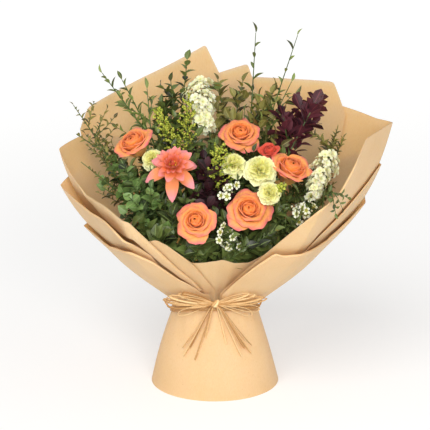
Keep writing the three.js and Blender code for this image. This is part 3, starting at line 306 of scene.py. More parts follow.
flecked = add_node(tree, "ShaderNodeMix", {"Factor": 0.25, "A": fibred, "B": speckle}, **stained)
crumple = add_node(tree, "ShaderNodeTexNoise", {"Vector": place, "Scale": 60.0, "Detail": 3.0})
soft = add_node(tree, "ShaderNodeBump", {"Strength": 0.1, "Distance": 0.002, "Height": crumple})
tooth = {"Strength": 0.1, "Distance": 0.0002, "Height": fibres, "Normal": soft}
rough = add_node(tree, "ShaderNodeBump", tooth)
feed(tree, shader, {"Base Color": flecked, "Normal": rough, "Subsurface Radius": (1, 0.6, 0.3)})
print("paper finish has", len(tree.nodes), "nodes")

# %% [markdown]
# ## The wrapper's wall
# All the sheets lie against one wall, which opens out from the tie like a bell, wide at the sides and
# nearly flat in panels beside the front. A sheet is the part of that wall below its own free edge. The
# sheets lie in layers 1.4 mm apart, and the outer ones splay a little more. They could be drawn one by
# one, but one formula keeps all eleven apart wherever they overlap. The same numbers shape the packed
# solids, so each fine sheet lies in its solid's place.

# %% Wall of the wrapper
tie_height = 117
neck_height = 90
neck_radius = 22.9
waist_side, waist_front = 50, 38
flare_side, flare_front, flare_back = 188, 108, 85
flare_length, flare_power = 104, 1.3
panel_front, panel_back, panel_sets = 45, 105, 105
layer_step, layer_fan = 1.4, 0.015


def tie_at(phi):
    """The height of the tie, which is 16 mm higher in front and 6 mm lower at the back."""
    front = np.cos(phi)
    return tie_height + front * np.where(front > 0, 16, 6)


def flare(rise):
    """How much of its full spread the wall has reached at a rise above the tie."""
    return 1 - np.exp(-((np.maximum(rise, 0) / flare_length) ** flare_power))


def flare_slope(rise):
    """How steeply flare grows, which stays as at 12 mm for any rise below that."""
    share = np.maximum(rise, 12) / flare_length
    return flare_power / flare_length * share ** (flare_power - 1) * np.exp(-(share**flare_power))


def oval_wall(turn, rise, layer, splay, neck):
    """A point of the bell: degrees from the front, rise above the tie, and how far down the neck."""
    phi = np.radians(turn)
    side = np.sin(phi) ** 2
    front_back = np.where(np.cos(phi) > 0, flare_front, flare_back)
    spread = front_back + (flare_side - front_back) * side
    waist = waist_front + (waist_side - waist_front) * side
    funnel = (waist - neck_radius) / (tie_at(phi) - neck_height)
    slope = spread * flare_slope(rise) * (1 - neck) + funnel * neck
    length = np.hypot(1, slope)
    out = layer * (layer_step + layer_fan * rise) + splay * rise
    reach = spread * flare(rise) + out / length
    x = (waist_side + (neck_radius - waist_side) * neck + reach) * np.sin(phi)
    y = -(waist_front + (neck_radius - waist_front) * neck + reach) * np.cos(phi)
    z = tie_at(phi) + (neck_height - tie_at(phi)) * neck + rise - out * slope / length
    return np.stack([x, y, z], axis=-1)


def wall(turn, rise, layer=0.0, splay=0.0, neck=0.0):
    """The bell with a nearly flat panel at each side."""
    turn, rise, neck = np.broadcast_arrays(*(np.asarray(v, float) for v in (turn, rise, neck)))
    round_turn = turn - 360 * np.round(turn / 360)
    point = oval_wall(round_turn, rise, layer, splay, neck)
    side = np.sign(round_turn)
    share = (np.abs(round_turn) - panel_front) / (panel_back - panel_front)
    first = oval_wall(side * panel_front, rise, layer, splay, neck)
    last = oval_wall(side * panel_back, rise, layer, splay, neck)
    flat = first + (last - first) * share[..., None]
    on_panel = (share > 0) & (share < 1)
    set_in = np.where(on_panel, np.minimum(1, rise / panel_sets) * (1 - neck), 0)[..., None]
    return point + (flat - point) * set_in


print("the wall is", np.round(wall(90, 150)[0]), "mm out at the right, 150 mm above the tie")

# %% [markdown]
# ## Folds in the paper
# Paper bends, but it doesn't stretch, so where it is gathered under the raffia it pleats, and from there
# long straight creases run out into the sheet. The pleats fade within a few centimetres of the tie. A
# cloth simulation would fold each sheet in its own way, and they would cross. Here all the sheets share
# the same folds, so they still lie one inside the next.

# %% Pleats and creases
fold_draw = np.random.default_rng(11)
crease_ranges = [(-180, 180), (-0.14, 0.14), (0.6, 1.6), (7, 15)]
creases = [[fold_draw.uniform(*span) for span in crease_ranges] for _ in range(20)]


def fold_depth(turn, rise):
    """How far the pleats, a slow wave and the creases stand out from the wall."""
    pleat = 1.1 * np.cos(np.radians(turn * 21) + 1.3 * np.sin(np.radians(turn * 4)))
    depth = pleat * np.exp(-np.maximum(rise, 0) / 32) * smooth_step(-12, 6, rise)
    depth = depth + 1.2 * np.sin(np.radians(turn * 3 + 40) + rise / 90) * smooth_step(20, 220, rise)
    for turn_at_tie, lean, height, width in creases:
        away = np.abs((turn - turn_at_tie - lean * rise + 180) % 360 - 180) / width
        depth = depth + height * np.maximum(0, 1 - away) ** 1.5 * smooth_step(0, 80, rise)
    return depth


print("folds reach", round(float(fold_depth(np.arange(-180, 180), 150.0).max()), 1), "mm out")

# %% [markdown]
# ## The sheets of paper
# Each sheet is cut straight, so its free edge is a row of corners with straight runs between them. Where
# the florist turned the edge outwards, it rolls over and hangs down outside as a lip, which catches the
# light: 2 to 3 mm on most sheets, and up to 26 mm on the left one. The lip is a few more rows of the
# sheet's own grid, so there is no seam between them.

# %% Free edges
# Each sheet: layer, splay, rolled stretch, and corners as (degrees from the front, mm above the tie). The
# rolled stretch is its first and last degree, the lip's length in mm, and the degrees over which it grows.
sheets = {
    "paper_front_centre": (0, 0, None, [
        (-40, 96), (-30, 85), (-19, 59), (-8, 59), (6, 65), (16, 59), (27, 60), (35, 74), (45, 92)
    ]),
    "paper_front_inner": (1, 0, (-34, -4, 3, 12), [
        (-45, 104), (-39, 98), (-35, 101), (-30, 93), (-17, 58), (-8, 26), (1, 10)
    ]),
    "paper_left": (2, 0, (-99, -16, 26, 40), [
        (-134, 205), (-124, 219), (-105, 203), (-100, 174), (-90, 148), (-66, 144), (-43, 132),
        (-37, 97), (-30, 56), (-18, 16), (-8, 9)
    ]),
    "paper_back_left": (3, 0, None, [
        (-119, 222), (-124, 251), (-147, 291), (-175, 336), (-184, 287), (-192, 250)
    ]),
    "paper_back_middle": (4, 0, None, [
        (190, 280), (178, 296), (164, 308), (160, 276), (154, 240)
    ]),
    "paper_back_right": (5, 0, None, [
        (176, 282), (162, 289), (145, 286), (130, 284), (124, 240)
    ]),
    "paper_left_low": (4, 0.06, (-98, -40, 3, 12), [
        (-124, 150), (-117, 170), (-112, 167), (-104, 158), (-94, 148), (-78, 139), (-59, 134),
        (-50, 126), (-42, 108), (-37, 88)
    ]),
    "paper_front_left": (5.4, 0.08, (-92, -9, 3, 12), [
        (-119, 104), (-112, 112), (-104, 109), (-98, 101), (-90, 96), (-77, 95), (-60, 98), (-44, 102),
        (-36, 84), (-29, 50), (-16, 18), (-7, 9)
    ]),
    "paper_right": (6, 0, (34, 72, 3, 12), [
        (142, 232), (130, 254), (113, 241), (105, 241), (75, 234), (69, 207), (60, 172), (45, 161),
        (38, 131), (28, 87), (17, 42), (6, 12)
    ]),
    "paper_right_low": (7, 0, (60, 100, 2, 12), [
        (126, 180), (116, 194), (102, 185), (91, 163), (80, 140), (70, 120), (60, 102), (50, 92)
    ]),
    "paper_front_right": (8, 0.02, (12, 100, 3, 12), [
        (117, 128), (110, 151), (106, 142), (97, 127), (88, 112), (78, 104), (66, 101), (54, 102),
        (44, 99), (36, 97), (31, 101), (25, 80), (18, 50), (8, 14)
    ]),
}


def edge_line(rim, step=4.0, mm_per_degree=2.6):
    """The free edge as close-set (turn, height) pairs."""
    line = [np.array(rim[0], float)]
    for (turn, height), (next_turn, next_height) in zip(rim, rim[1:]):
        steps = math.ceil(math.hypot((next_turn - turn) * mm_per_degree, next_height - height) / step)
        for share in np.arange(1, steps + 1) / steps:
            line.append(np.array([turn, height]) * (1 - share) + np.array([next_turn, next_height]) * share)
    line = np.array(line)
    softened = line.copy()
    softened[1:-1] = (line[:-2] + 2 * line[1:-1] + line[2:]) / 4
    return softened


def sheet_normal(grid, turn):
    """The way out of a sheet at each of its points."""
    turn = np.radians(turn)
    round_way = np.stack([np.cos(turn), np.sin(turn), np.zeros(len(turn))], axis=-1)
    return unit(np.cross(round_way[None], np.gradient(grid, axis=0)))


def rolled_rows(grid, outward, curl):
    """Rows that carry the free edge over a tight bend, and then down outside as a lip."""
    rise_way = unit(grid[-1] - grid[-3])
    bend = np.clip(curl * 0.5, 0.04, 1.7)[:, None]
    rows = []
    for angle in np.radians([30, 60, 90, 120, 150]):
        rows.append(grid[-1] + (rise_way * np.sin(angle) + outward[-1] * (1 - np.cos(angle))) * bend)
    lean = math.radians(8)
    down = outward[-1] * math.sin(lean) - rise_way * math.cos(lean)
    for share in (0.33, 0.67, 1.0):
        rows.append(rows[4] + down * share * np.maximum(curl - 1, 0.04)[:, None])
    return np.array(rows)


def paper_sheet(name, rows=34, thickness=0.4, neck_share=0.08):
    """A sheet: its first rows lie in the neck below the tie, the others rise to the free edge."""
    layer, splay, roll, rim = sheets[name]
    turn, height = edge_line(rim).T
    share = np.linspace(0, 1, rows)[:, None]
    curl = np.zeros(len(turn))
    if roll:
        low, high, lip, gain = roll
        curl = lip * smooth_step(low, low + gain, turn) * (1 - smooth_step(high - 6, high, turn))
        curl = curl * np.clip(height / 90, 0.3, 1)
    top = height - np.minimum(curl, 2)
    rise = np.where(share < neck_share, 0, top * ((share - neck_share) / (1 - neck_share)))
    neck = np.where(share < neck_share, 1 - share / neck_share, 0)
    columns = np.broadcast_to(turn, rise.shape)
    grid = wall(columns, rise, layer, splay, neck)
    outward = sheet_normal(grid, turn)
    flutter = 0.25 * np.sin(columns / 7 + layer * 2) * smooth_step(0.55, 1, share)
    grid = grid + outward * (fold_depth(columns, rise) + flutter)[..., None]
    if roll:
        grid = np.vstack([grid, rolled_rows(grid, outward, curl)])
    if turn[0] > turn[-1]:
        grid = grid[:, ::-1]
    points, faces, uv = closed_sheet(grid, -thickness)
    return new_piece(name + "_sheet", points, faces[:, [0, 3, 2, 1]], uv, paper_finish)


dressed = {name: paper_sheet(name) for name in sheets}
print(len(dressed), "sheets,", sum(len(o.data.polygons) for o in dressed.values()), "faces")

# %% [markdown]
# ## The skirt
# Below the tie a second piece of paper is rolled round the stems and flares out to the surface. It is
# smooth, with a few long shallow bends, and pleats only where the raffia gathers it. A turned shape could
# only be round, and this waist is an oval, so the skirt is its own grid of points, closed into a sleeve.

# %% Skirt
foot_radius = 89
skirt_waist_side, skirt_waist_front = 58, 48
skirt_top = 10.5


def skirt_face(phi, share, depth):
    """A point of the skirt at a share of its height, and a depth inside its outer face."""
    pleat = 0.7 * np.cos(phi * 26 + 2 * np.sin(phi * 3)) * share**5
    bend = 0.9 * np.cos(phi * 5 + 0.7) * np.sin(np.pi * np.clip(share, 0, 1))
    bulge = 2 * np.sin(np.pi * share) - depth + pleat + bend - 0.7
    x = (foot_radius + (skirt_waist_side - foot_radius) * share + bulge) * np.sin(phi)
    y = -(foot_radius + (skirt_waist_front - foot_radius) * share + bulge) * np.cos(phi)
    return np.stack([x, y, share * (tie_at(phi) - skirt_top)], axis=-1)


def skirt_sheet(segments=168, rows=22, thickness=0.6):
    """The skirt: rows up its outer face and down its inner one, joined round as one closed sleeve."""
    phi = np.linspace(0, 2 * np.pi, segments, endpoint=False)[None]
    share = np.linspace(0, 1, rows)[:, None]
    phi, share = np.broadcast_arrays(phi, share)
    loop = np.vstack([skirt_face(phi, share, 0.0), skirt_face(phi, share, thickness)[::-1]])
    index = np.arange(len(loop) * segments).reshape(len(loop), segments)
    beside = np.roll(index, -1, axis=1)
    quads = [index, beside, np.roll(beside, -1, axis=0), np.roll(index, -1, axis=0)]
    faces = np.stack(quads, axis=2).reshape(-1, 4)
    height = np.concatenate([share[:, :1], share[::-1, :1]])
    uv = np.stack(np.broadcast_arrays(phi[:1] / (2 * np.pi), height), axis=2).reshape(-1, 2)
    return new_piece("paper_skirt_sheet", loop.reshape(-1, 3), faces, uv, paper_finish)


dressed["paper_skirt"] = skirt_sheet()
print("skirt:", len(dressed["paper_skirt"].data.polygons), "faces")

# %% [markdown]
# ## Strands, stems and twigs with Geometry Nodes
# A stem, a twig and a strand of raffia are all one thing: a section carried along a path. A curve object
# with a bevel would make one of them. One tree makes all the strands of a piece at once. It takes paths as
# loose edges, turns them to curves, smooths them, and carries a ring along them. Flatness squeezes the ring
# for raffia. The thickness is kept at each point in an attribute.

# %% The tree that sweeps a section along paths
def new_tree(name, sockets):
    """A geometry tree with named inputs, and the outputs of its first node, which bring them in."""
    tree = bpy.data.node_groups.new(name, "GeometryNodeTree")
    for label, kind in sockets.items():
        tree.interface.new_socket(label, in_out="INPUT", socket_type="NodeSocket" + kind)
    tree.interface.new_socket("Mesh", in_out="OUTPUT", socket_type="NodeSocketGeometry")
    return tree, add_node(tree, "NodeGroupInput").outputs


def end_tree(tree, geometry, finish):
    """The end of each tree: its instances become real meshes, and take their material."""
    real = add_node(tree, "GeometryNodeRealizeInstances", {"Geometry": geometry})
    painted = add_node(tree, "GeometryNodeSetMaterial", {"Geometry": real, "Material": finish})
    add_node(tree, "NodeGroupOutput", {"Mesh": painted})
    print(tree.name, "has", len(tree.nodes), "nodes")


inlets = {"Paths": "Geometry", "Sides": "Int", "Flatness": "Float", "Spacing": "Float", "Finish": "Material"}
sweep, given = new_tree("sweep_along_paths", inlets)
curves = add_node(sweep, "GeometryNodeMeshToCurve", {"Mesh": given["Paths"]})
bezier = add_node(sweep, "GeometryNodeCurveSplineType", {"Curve": curves}, spline_type="BEZIER")
bent = add_node(sweep, "GeometryNodeCurveSetHandles", {"Curve": bezier}, handle_type="AUTO")
inputs = {"Curve": bent, "Length": given["Spacing"]}
even = add_node(sweep, "GeometryNodeResampleCurve", inputs, mode="LENGTH")
thick = add_node(sweep, "GeometryNodeInputNamedAttribute", {"Name": "thick"}, data_type="FLOAT")
ring = add_node(sweep, "GeometryNodeCurvePrimitiveCircle", {"Resolution": given["Sides"], "Radius": 1.0})
squeeze = add_node(sweep, "ShaderNodeCombineXYZ", {"X": 1.0, "Y": given["Flatness"], "Z": 1.0})
section = add_node(sweep, "GeometryNodeTransform", {"Geometry": ring, "Scale": squeeze})
inputs = {"Curve": even, "Profile Curve": section, "Scale": thick, "Fill Caps": True}
carried = add_node(sweep, "GeometryNodeCurveToMesh", inputs)
end_tree(sweep, carried, given["Finish"])

# %% Run a tree and keep its result as a plain mesh
def run_tree(name, group, points, edges, fields, values):
    """Evaluates a tree on points in millimetres that carry fields, and keeps the plain mesh it makes."""
    mesh = bpy.data.meshes.new(name)
    mesh.from_pydata(to_frame(points).tolist(), edges, [])
    for key, (kind, numbers) in fields.items():
        field = "vector" if kind == "FLOAT_VECTOR" else "value"
        data = mesh.attributes.new(key, kind, "POINT").data
        data.foreach_set(field, np.asarray(numbers, np.float32).ravel())
    holder = new_object(name, mesh)
    modifier = holder.modifiers.new("shape", "NODES")
    modifier.node_group = group
    for item in group.interface.items_tree:
        if item.name in values:
            modifier[item.identifier] = values[item.name]
    graph = bpy.context.evaluated_depsgraph_get()
    made = bpy.data.meshes.new_from_object(holder.evaluated_get(graph), depsgraph=graph)
    bpy.data.objects.remove(holder)
    bpy.data.meshes.remove(mesh)
    return new_object(name, made)


golden_share = 0.618


def swept(name, paths, finish, sides=6, flatness=1.0, spacing=5.0):
    """Tubes along paths, each with a tone of its own. A path is (points in mm, radius in mm). The radius is
    one number, a number for each point, or the pair (at the start, at the end)."""
    points, edges, radii, tones = [], [], [], []
    for k, (path, thickness) in enumerate(paths):
        edges += [(n, n + 1) for n in range(len(points), len(points) + len(path) - 1)]
        points += list(np.asarray(path, float))
        even = np.linspace(*thickness, len(path)) if isinstance(thickness, tuple) else thickness
        radii += list(np.broadcast_to(even, len(path)))
        tones += [k * golden_share % 1] * len(path)
    fields = {"thick": ("FLOAT", np.asarray(radii, np.float32) * 0.001), "tone": ("FLOAT", tones)}
    settings = {"Sides": sides, "Flatness": flatness, "Spacing": spacing * 0.001, "Finish": finish}
    made = run_tree(name, sweep, points, edges, fields, settings)
    made.data.shade_smooth()
    made.data.set_sharp_from_angle(angle=math.radians(60))
    return made


trial = swept("trial", [([(0, 0, 0), (0, 0, 50), (0, 20, 90)], 2)], paper_finish)
print("a trial stem has", len(trial.data.polygons), "faces")
bpy.data.objects.remove(trial)

# %% [markdown]
# ## Copies with Geometry Nodes
# Leaves, petals, florets and buds repeat hundreds of times. A second tree takes a cloud of points, each
# with a turn, a size and a tone, and sets one pattern on every point. Particles could scatter them too,
# but points let the rules below choose each copy's place and turn. Realize Instances makes them real
# meshes, and the tone stays on each copy, so that its colour can differ a little from its neighbours'.

# %% The tree that sets copies on points
inlets = {"Places": "Geometry", "Pattern": "Object", "Growth": "Float", "Finish": "Material"}
copies, given = new_tree("copies_on_points", inlets)
pattern = add_node(copies, "GeometryNodeObjectInfo", {"Object": given["Pattern"]}).outputs["Geometry"]
turn = add_node(copies, "GeometryNodeInputNamedAttribute", {"Name": "turn"}, data_type="QUATERNION")
size = add_node(copies, "GeometryNodeInputNamedAttribute", {"Name": "size"}, data_type="FLOAT_VECTOR")
grown = add_node(copies, "ShaderNodeVectorMath", {0: size, "Scale": given["Growth"]}, operation="SCALE")
inputs = {"Points": given["Places"], "Instance": pattern, "Rotation": turn, "Scale": grown}
put = add_node(copies, "GeometryNodeInstanceOnPoints", inputs)
end_tree(copies, put, given["Finish"])

# %% Places for copies
class Places:
    """A growing list of where copies go: point, way (the pattern's Y), face (its Z), size and tone."""

    def __init__(self):
        self.points, self.turns, self.sizes, self.tones = [], [], [], []

    def add(self, point, way, face, size, tone=0.5):
        """Keeps one copy's place. Its face is turned until it is square to its way."""
        y = Vector(way).normalized()
        z = Vector(face) - y * Vector(face).dot(y)
        z = z.normalized() if z.length > 1e-6 else y.orthogonal().normalized()
        self.points.append(tuple(point))
        self.turns.append(tuple(Matrix((y.cross(z), y, z)).transposed().to_quaternion()))
        self.sizes.append(tuple(np.broadcast_to(size, 3)))
        self.tones.append(tone)

    def grow(self, name, pattern, finish):
        """One mesh with a copy of the pattern at every place."""
        if not self.points:
            return None
        fields = {
            "turn": ("QUATERNION", self.turns),
            "size": ("FLOAT_VECTOR", self.sizes),
            "tone": ("FLOAT", self.tones),
        }
        settings = {"Pattern": pattern, "Growth": 0.001, "Finish": finish}
        return run_tree(name, copies, self.points, [], fields, settings)


patterns = []
golden_angle = math.radians(137.508)


def new_pattern(name, points, faces, uv):
    """A shape to copy, about 1 mm in size, kept apart from the object's own pieces."""
    patterns.append(new_piece(name, points, faces, uv, sharp=60, placed=np.array))
    return patterns[-1]


print("ready to place copies")

# %% [markdown]
# ## Raffia
# Raffia is the dried skin of palm leaves, torn into flat strands one to three millimetres wide, tan and
# fibrous. The florist winds several strands round the waist and ties them in a bow, which is why the bow
# is a fan of thin loops and not one ribbon. To the eye it is dry and dull, with long fibres. They are noise
# 2 mm wide, coarser than real ones, so that they show, and each strand has a tone of its own, so that it
# stands out from the next.

# %% Raffia finish
raffia_finish, tree, shader = new_finish("dried_raffia", 0.6, 0.4, sheen=0.1)
place = add_node(tree, "ShaderNodeTexCoord").outputs["Object"]
streaks = add_node(tree, "ShaderNodeTexNoise", {"Vector": place, "Scale": 500.0, "Detail": 4.0})
tone = add_node(tree, "ShaderNodeAttribute", attribute_name="tone").outputs["Fac"]
blend = add_node(tree, "ShaderNodeMath", {0: streaks, 1: 0.5, 2: tone}, operation="MULTIPLY_ADD")
stops = [(0.2, "#AE7C40"), (1.0, "#F0D09A"), (0.6, "#D9AC70")]
tans = add_node(tree, "ShaderNodeValToRGB", {"Fac": blend}, stops)
ridges = add_node(tree, "ShaderNodeBump", {"Strength": 0.25, "Distance": 0.0002, "Height": streaks})
feed(tree, shader, {"Base Color": tans, "Normal": ridges})
print("raffia finish has", len(tree.nodes), "nodes")

# %% [markdown]
# ## The winding, the bow and the twine
# The winding is eleven strands in two layers over the skirt's top edge, each wandering a little up and
# down. A soft ribbon would be draped by a simulation, but dry raffia keeps the shape that it was pulled
# into. So each loop and tail is drawn as a curve over the wrapper, from the knot out and back, with its own
# reach, lift and distance from the paper. Inside, seven turns of twine hold the stems where they cross.
# It is dry and fibrous too, so it takes the raffia's finish.

# %% Raffia round the waist
band_height, bow_height = 7, 128
raffia_draw = np.random.default_rng(5)


def round_point(phi, radius, z):
    """The point at an angle from the front, a radius and a height."""
    return np.stack([radius * np.sin(phi), -radius * np.cos(phi), z], axis=-1)


def band_point(phi, drop, out):
    """A point of the winding, drop millimetres below the skirt's top edge."""
    share = 1 - drop / (tie_at(phi) - skirt_top)
    return skirt_face(phi, share, 0.0) + round_point(phi, 1, np.zeros_like(phi)) * out


phi = np.linspace(0, 2 * np.pi, 73)
windings = []
for k in range(11):
    drop = 0.4 + (band_height - 0.8) * (k % 6) / 5 + raffia_draw.uniform(-0.3, 0.3)
    wander = 0.7 * np.sin(phi * raffia_draw.integers(1, 4) + raffia_draw.uniform(0, 6))
    out = 1.2 + 0.9 * (k // 6) + raffia_draw.uniform(-0.15, 0.15)
    drop = np.clip(drop + wander, 0.3, band_height)
    windings.append((band_point(phi, drop, out), raffia_draw.uniform(0.75, 1.0)))
dressed["raffia_band"] = swept("raffia_band_strands", windings, raffia_finish, 6, 0.6, 4)
print("band:", len(windings), "strands")

# %% The bow's loops and tails
def outside(phi, z):
    """How far out the wrapper and skirt reach."""
    side = np.sin(phi) ** 2
    top = tie_at(phi) - skirt_top
    waist = skirt_waist_front + (skirt_waist_side - skirt_waist_front) * side
    skirt = foot_radius + (waist - foot_radius) * z / top + 2
    spread = flare_front + (flare_side - flare_front) * side
    inner = waist_front + (waist_side - waist_front) * side
    above = np.maximum(inner + spread * flare(np.maximum(0, z - tie_at(phi) + 10)) + 9, waist + 5)
    return np.where(z < top - band_height, skirt, above)


def bow_loop(reach, lift, half, stand):
    """A flat-lying loop from the knot to a sideways reach and back, half above its middle line."""
    t = np.linspace(0, 1, 19)
    phi = np.radians(reach) * np.sin(np.pi * t) ** 0.8
    z = bow_height + lift * np.sin(np.pi * t) + half * np.sin(2 * np.pi * t)
    return round_point(phi, outside(phi, z) + 1.6 + stand * np.sin(np.pi * t) ** 1.3, z)


def bow_tail(sideways, low, lift):
    """A tail that hangs from the knot to a place on the skirt."""
    t = np.linspace(0, 1, 9)
    z = bow_height + (low - bow_height - 2) * t
    phi = np.arcsin(np.clip(sideways * t**0.7 / 75, -0.95, 0.95))
    stand = 1.2 + lift * np.sin(np.pi * np.clip(t * 1.1, 0, 1)) + 3 * np.exp(-t * 9)
    return round_point(phi, outside(phi, z) + stand, z)


def bow_stray(end, high):
    """A short stray end that stands off beside the knot."""
    t = np.linspace(0, 1, 8)
    phi, z = np.radians(end) * t, bow_height + high * t**1.2
    return round_point(phi, outside(phi, z) + 2 + 7 * np.sin(np.pi * t), z)


bow = []
loop_reach = ([0, 0.3, 0.6, 0.85, 1], [38, 56, 71, 70, 52])
for side in (-1, 1):
    for k in range(11):
        low = (k * 4 % 11) / 10
        reach = side * np.interp(low, *loop_reach) * raffia_draw.uniform(0.95, 1.03)
        loop = bow_loop(reach, 15 - 35 * low, raffia_draw.uniform(3, 5.5), raffia_draw.uniform(1, 8))
        bow.append((loop, raffia_draw.uniform(0.9, 1.3)))
    for k in range(5):
        stray = bow_stray(side * raffia_draw.uniform(24, 44), raffia_draw.uniform(-16, 14))
        bow.append((stray, (1.3, 0.6)))
for sideways, low in [(-43, 58), (-36, 70), (-27, 55), (-15, 84), (17, 76), (36, 58), (42, 68), (49, 60)]:
    for k, width in enumerate([2.3, 1.0]):
        beside = sideways + 3 * k * raffia_draw.choice([-1, 1])
        path = bow_tail(beside, low + 9 * k, raffia_draw.uniform(0.5, 3))
        bow.append((path, np.linspace(0.7, 1, len(path)) ** 2 * width))
for k in range(6):
    turn = np.linspace(0, 2 * np.pi, 13)
    lean = raffia_draw.uniform(-0.7, 0.7)
    x, y = 3 * np.cos(turn) + 3 * lean, -57.5 - 4.0 * np.sin(turn)
    bow.append((np.stack([x, y, bow_height + 0.5 + 4.2 * np.cos(turn + lean)], axis=-1), 1.3))
dressed["raffia_bow"] = swept("raffia_bow_strands", bow, raffia_finish, 6, 0.5, 3)
print("bow:", len(bow), "strands,", len(dressed["raffia_bow"].data.polygons), "faces")

# %% The twine that ties the stems
twine_turns, twine_radius, twine_low, twine_rise = 7, 19.3, 85, 6
phi = np.linspace(0, 2 * np.pi * twine_turns, twine_turns * 24 + 1)
twine = round_point(phi, twine_radius, twine_low + phi * twine_rise / (2 * np.pi * twine_turns))
dressed["stem_binding"] = swept("stem_binding_twine", [(twine, 1.1)], raffia_finish, 6, 1.0, 3)
print("twine:", round(float(np.linalg.norm(np.diff(twine, axis=0), axis=1).sum())), "mm long")

# %% [markdown]
# ## The plants
# Each plant is listed by where it is and which way it faces, in millimetres round the skirt's middle. A
# bloom has a head on one stem. A spike, a plume, a spray or a leafy stem branches at its root. The lists
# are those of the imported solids, so the fine plants grow in the same places. "Fill" is a region in x and z
# that a plant fills with so many more twigs, and "over" are the ends of a sprig that hangs out over the
# wrapper's edge.

# %% Lists of plants
blooms = {
    "rose_left": dict(head=(-108, -12, 338), way=(-0.4, -0.42, 0.82), radius=31, open=0.55),
    "rose_top": dict(head=(34, 2, 344), way=(0, -0.62, 0.78), radius=32, open=1),
    "rose_right": dict(head=(100, -36, 308), way=(0.32, -0.4, 0.86), radius=32, open=0.5),
    "rose_low_left": dict(head=(-25, -88, 252), way=(-0.1, -0.86, 0.5), radius=30, open=1),
    "rose_low_right": dict(head=(44, -82, 266), way=(0.12, -0.78, 0.62), radius=33, open=1),
    "rose_bud": dict(head=(73, -26, 328), way=(-0.2, -0.45, 0.87), radius=12, open=0.5),
    "lily": dict(head=(-55, -58, 316), way=(-0.06, -0.8, 0.6), radius=26),
    "carnation_right": dict(head=(60, -56, 314), way=(0.1, -0.72, 0.68), radius=20),
    "carnation_low": dict(head=(72, -78, 287), way=(0.3, -0.8, 0.5), radius=15),
    "carnation_middle": dict(head=(25, -44, 318), way=(0, -0.6, 0.8), radius=16),
    "carnation_left": dict(head=(-84, -30, 322), way=(-0.3, -0.7, 0.65), radius=14),
}
head_depth = {"rose": 0.75, "lily": 0.35, "carnation": 0.55, "rose_bud": 0.9}
spikes = {
    "stock_top": dict(root=(-7, 18, 352), tip=(-24, 42, 414), spread=17),
    "stock_right": dict(root=(121, -52, 260), tip=(154, -26, 330), spread=13),
}
plumes = {
    "goldenrod_top": dict(root=(-42, -8, 312), tips=[((-33, 26, 392), 25, 1), ((-78, 12, 376), 19, 1)]),
    "goldenrod_middle": dict(root=(2, -40, 272), tips=[((4, -56, 338), 31, 1), ((88, -78, 296), 14, 0.6)]),
}
wax_sprays = {
    "waxflower_front": dict(root=(16, -60, 196), tips=[(20, -96, 238)], count=24, reach=22),
    "waxflower_middle": dict(root=(16, -60, 262), tips=[(22, -84, 298)], count=11, reach=13),
    "waxflower_right": dict(root=(106, -50, 232), tips=[(124, -76, 266)], count=16, reach=20),
}
leafy_stems = {
    "smokebush_right": dict(
        root=(100, 2, 322), tips=[(136, 18, 388), (92, 6, 370)], kind="plum",
        fill=((88, 142), (335, 384), 12),
    ),
    "smokebush_centre": dict(
        root=(-8, -24, 262), tips=[(-10, -62, 318)], kind="plum", fill=((-36, 26), (252, 322), 26),
    ),
    "ruscus_left": dict(
        root=(-86, 14, 340), tips=[(-152, 30, 426), (-92, 34, 404), (-126, 36, 416)], kind="willow",
        fill=((-150, -75), (345, 395), 6),
    ),
    "myrtle_left": dict(
        root=(-146, 0, 322), tips=[(-190, 10, 386), (-186, -6, 350)], kind="small",
        fill=((-182, -132), (318, 385), 9),
    ),
    "box_left": dict(
        root=(-112, -28, 258), tips=[(-178, -34, 318), (-158, -16, 340), (-150, -50, 288)],
        kind="small", fill=((-168, -108), (268, 345), 10),
    ),
    "pittosporum_left": dict(
        root=(-84, -46, 236), tips=[(-120, -64, 322), (-112, -88, 284), (-84, -72, 292)], kind="round",
        fill=((-148, -58), (235, 322), 24),
    ),
    "salal_left": dict(
        root=(-60, -50, 200), tips=[(-118, -92, 252), (-80, -104, 238), (-56, -80, 264)], kind="broad",
        fill=((-125, -20), (205, 262), 16),
    ),
    "salal_front": dict(
        root=(2, -46, 172), tips=[(-34, -98, 220), (46, -102, 224), (78, -94, 240)], kind="broad",
        fill=((-50, 105), (192, 246), 20),
    ),
    "jasmine_right": dict(
        root=(80, -46, 214), tips=[(148, -74, 270), (108, -90, 254), (92, -80, 268)], kind="small",
        fill=((68, 156), (222, 312), 44), over=[(163, -119, 277), (170, -107, 288), (154, -127, 272)],
    ),
    "rosemary_right": dict(
        root=(138, -24, 268), tips=[(172, -12, 346), (164, 8, 352)], kind="needle",
        fill=((122, 168), (268, 350), 9),
    ),
    "myrtle_tall": dict(
        root=(48, 40, 338), tips=[(55, 46, 478)], kind="willow", fill=((30, 62), (350, 420), 2),
    ),
    "ruscus_tall": dict(
        root=(64, 28, 334), tips=[(111, 38, 476), (104, 44, 412)], kind="willow",
        fill=((60, 118), (345, 400), 5),
    ),
    "eucalyptus_left": dict(
        root=(-50, 20, 316), tips=[(-72, 34, 384), (-38, 56, 440), (-60, 46, 412)], kind="oval",
        fill=((-78, 4), (322, 406), 26),
    ),
    "eucalyptus_right": dict(
        root=(20, 34, 326), tips=[(4, 54, 412), (38, 54, 410), (76, 30, 384)], kind="oval",
        fill=((-2, 96), (330, 404), 26),
    ),
}


def stood(origin, axis, turn=0.0, scale=1.0):
    """Rotation and origin that stand a flower's own Z along an axis."""
    lean = Vector((0, 0, 1)).rotation_difference(Vector(axis).normalized())
    whole = lean @ Matrix.Rotation(turn, 3, "Z").to_quaternion()
    return np.array(whole.to_matrix()) * scale, np.asarray(origin, float)


def square_to(way, turn=0.0):
    """A direction at right angles to a way, turned round it."""
    return stood((0, 0, 0), way, turn)[0][:, 0]


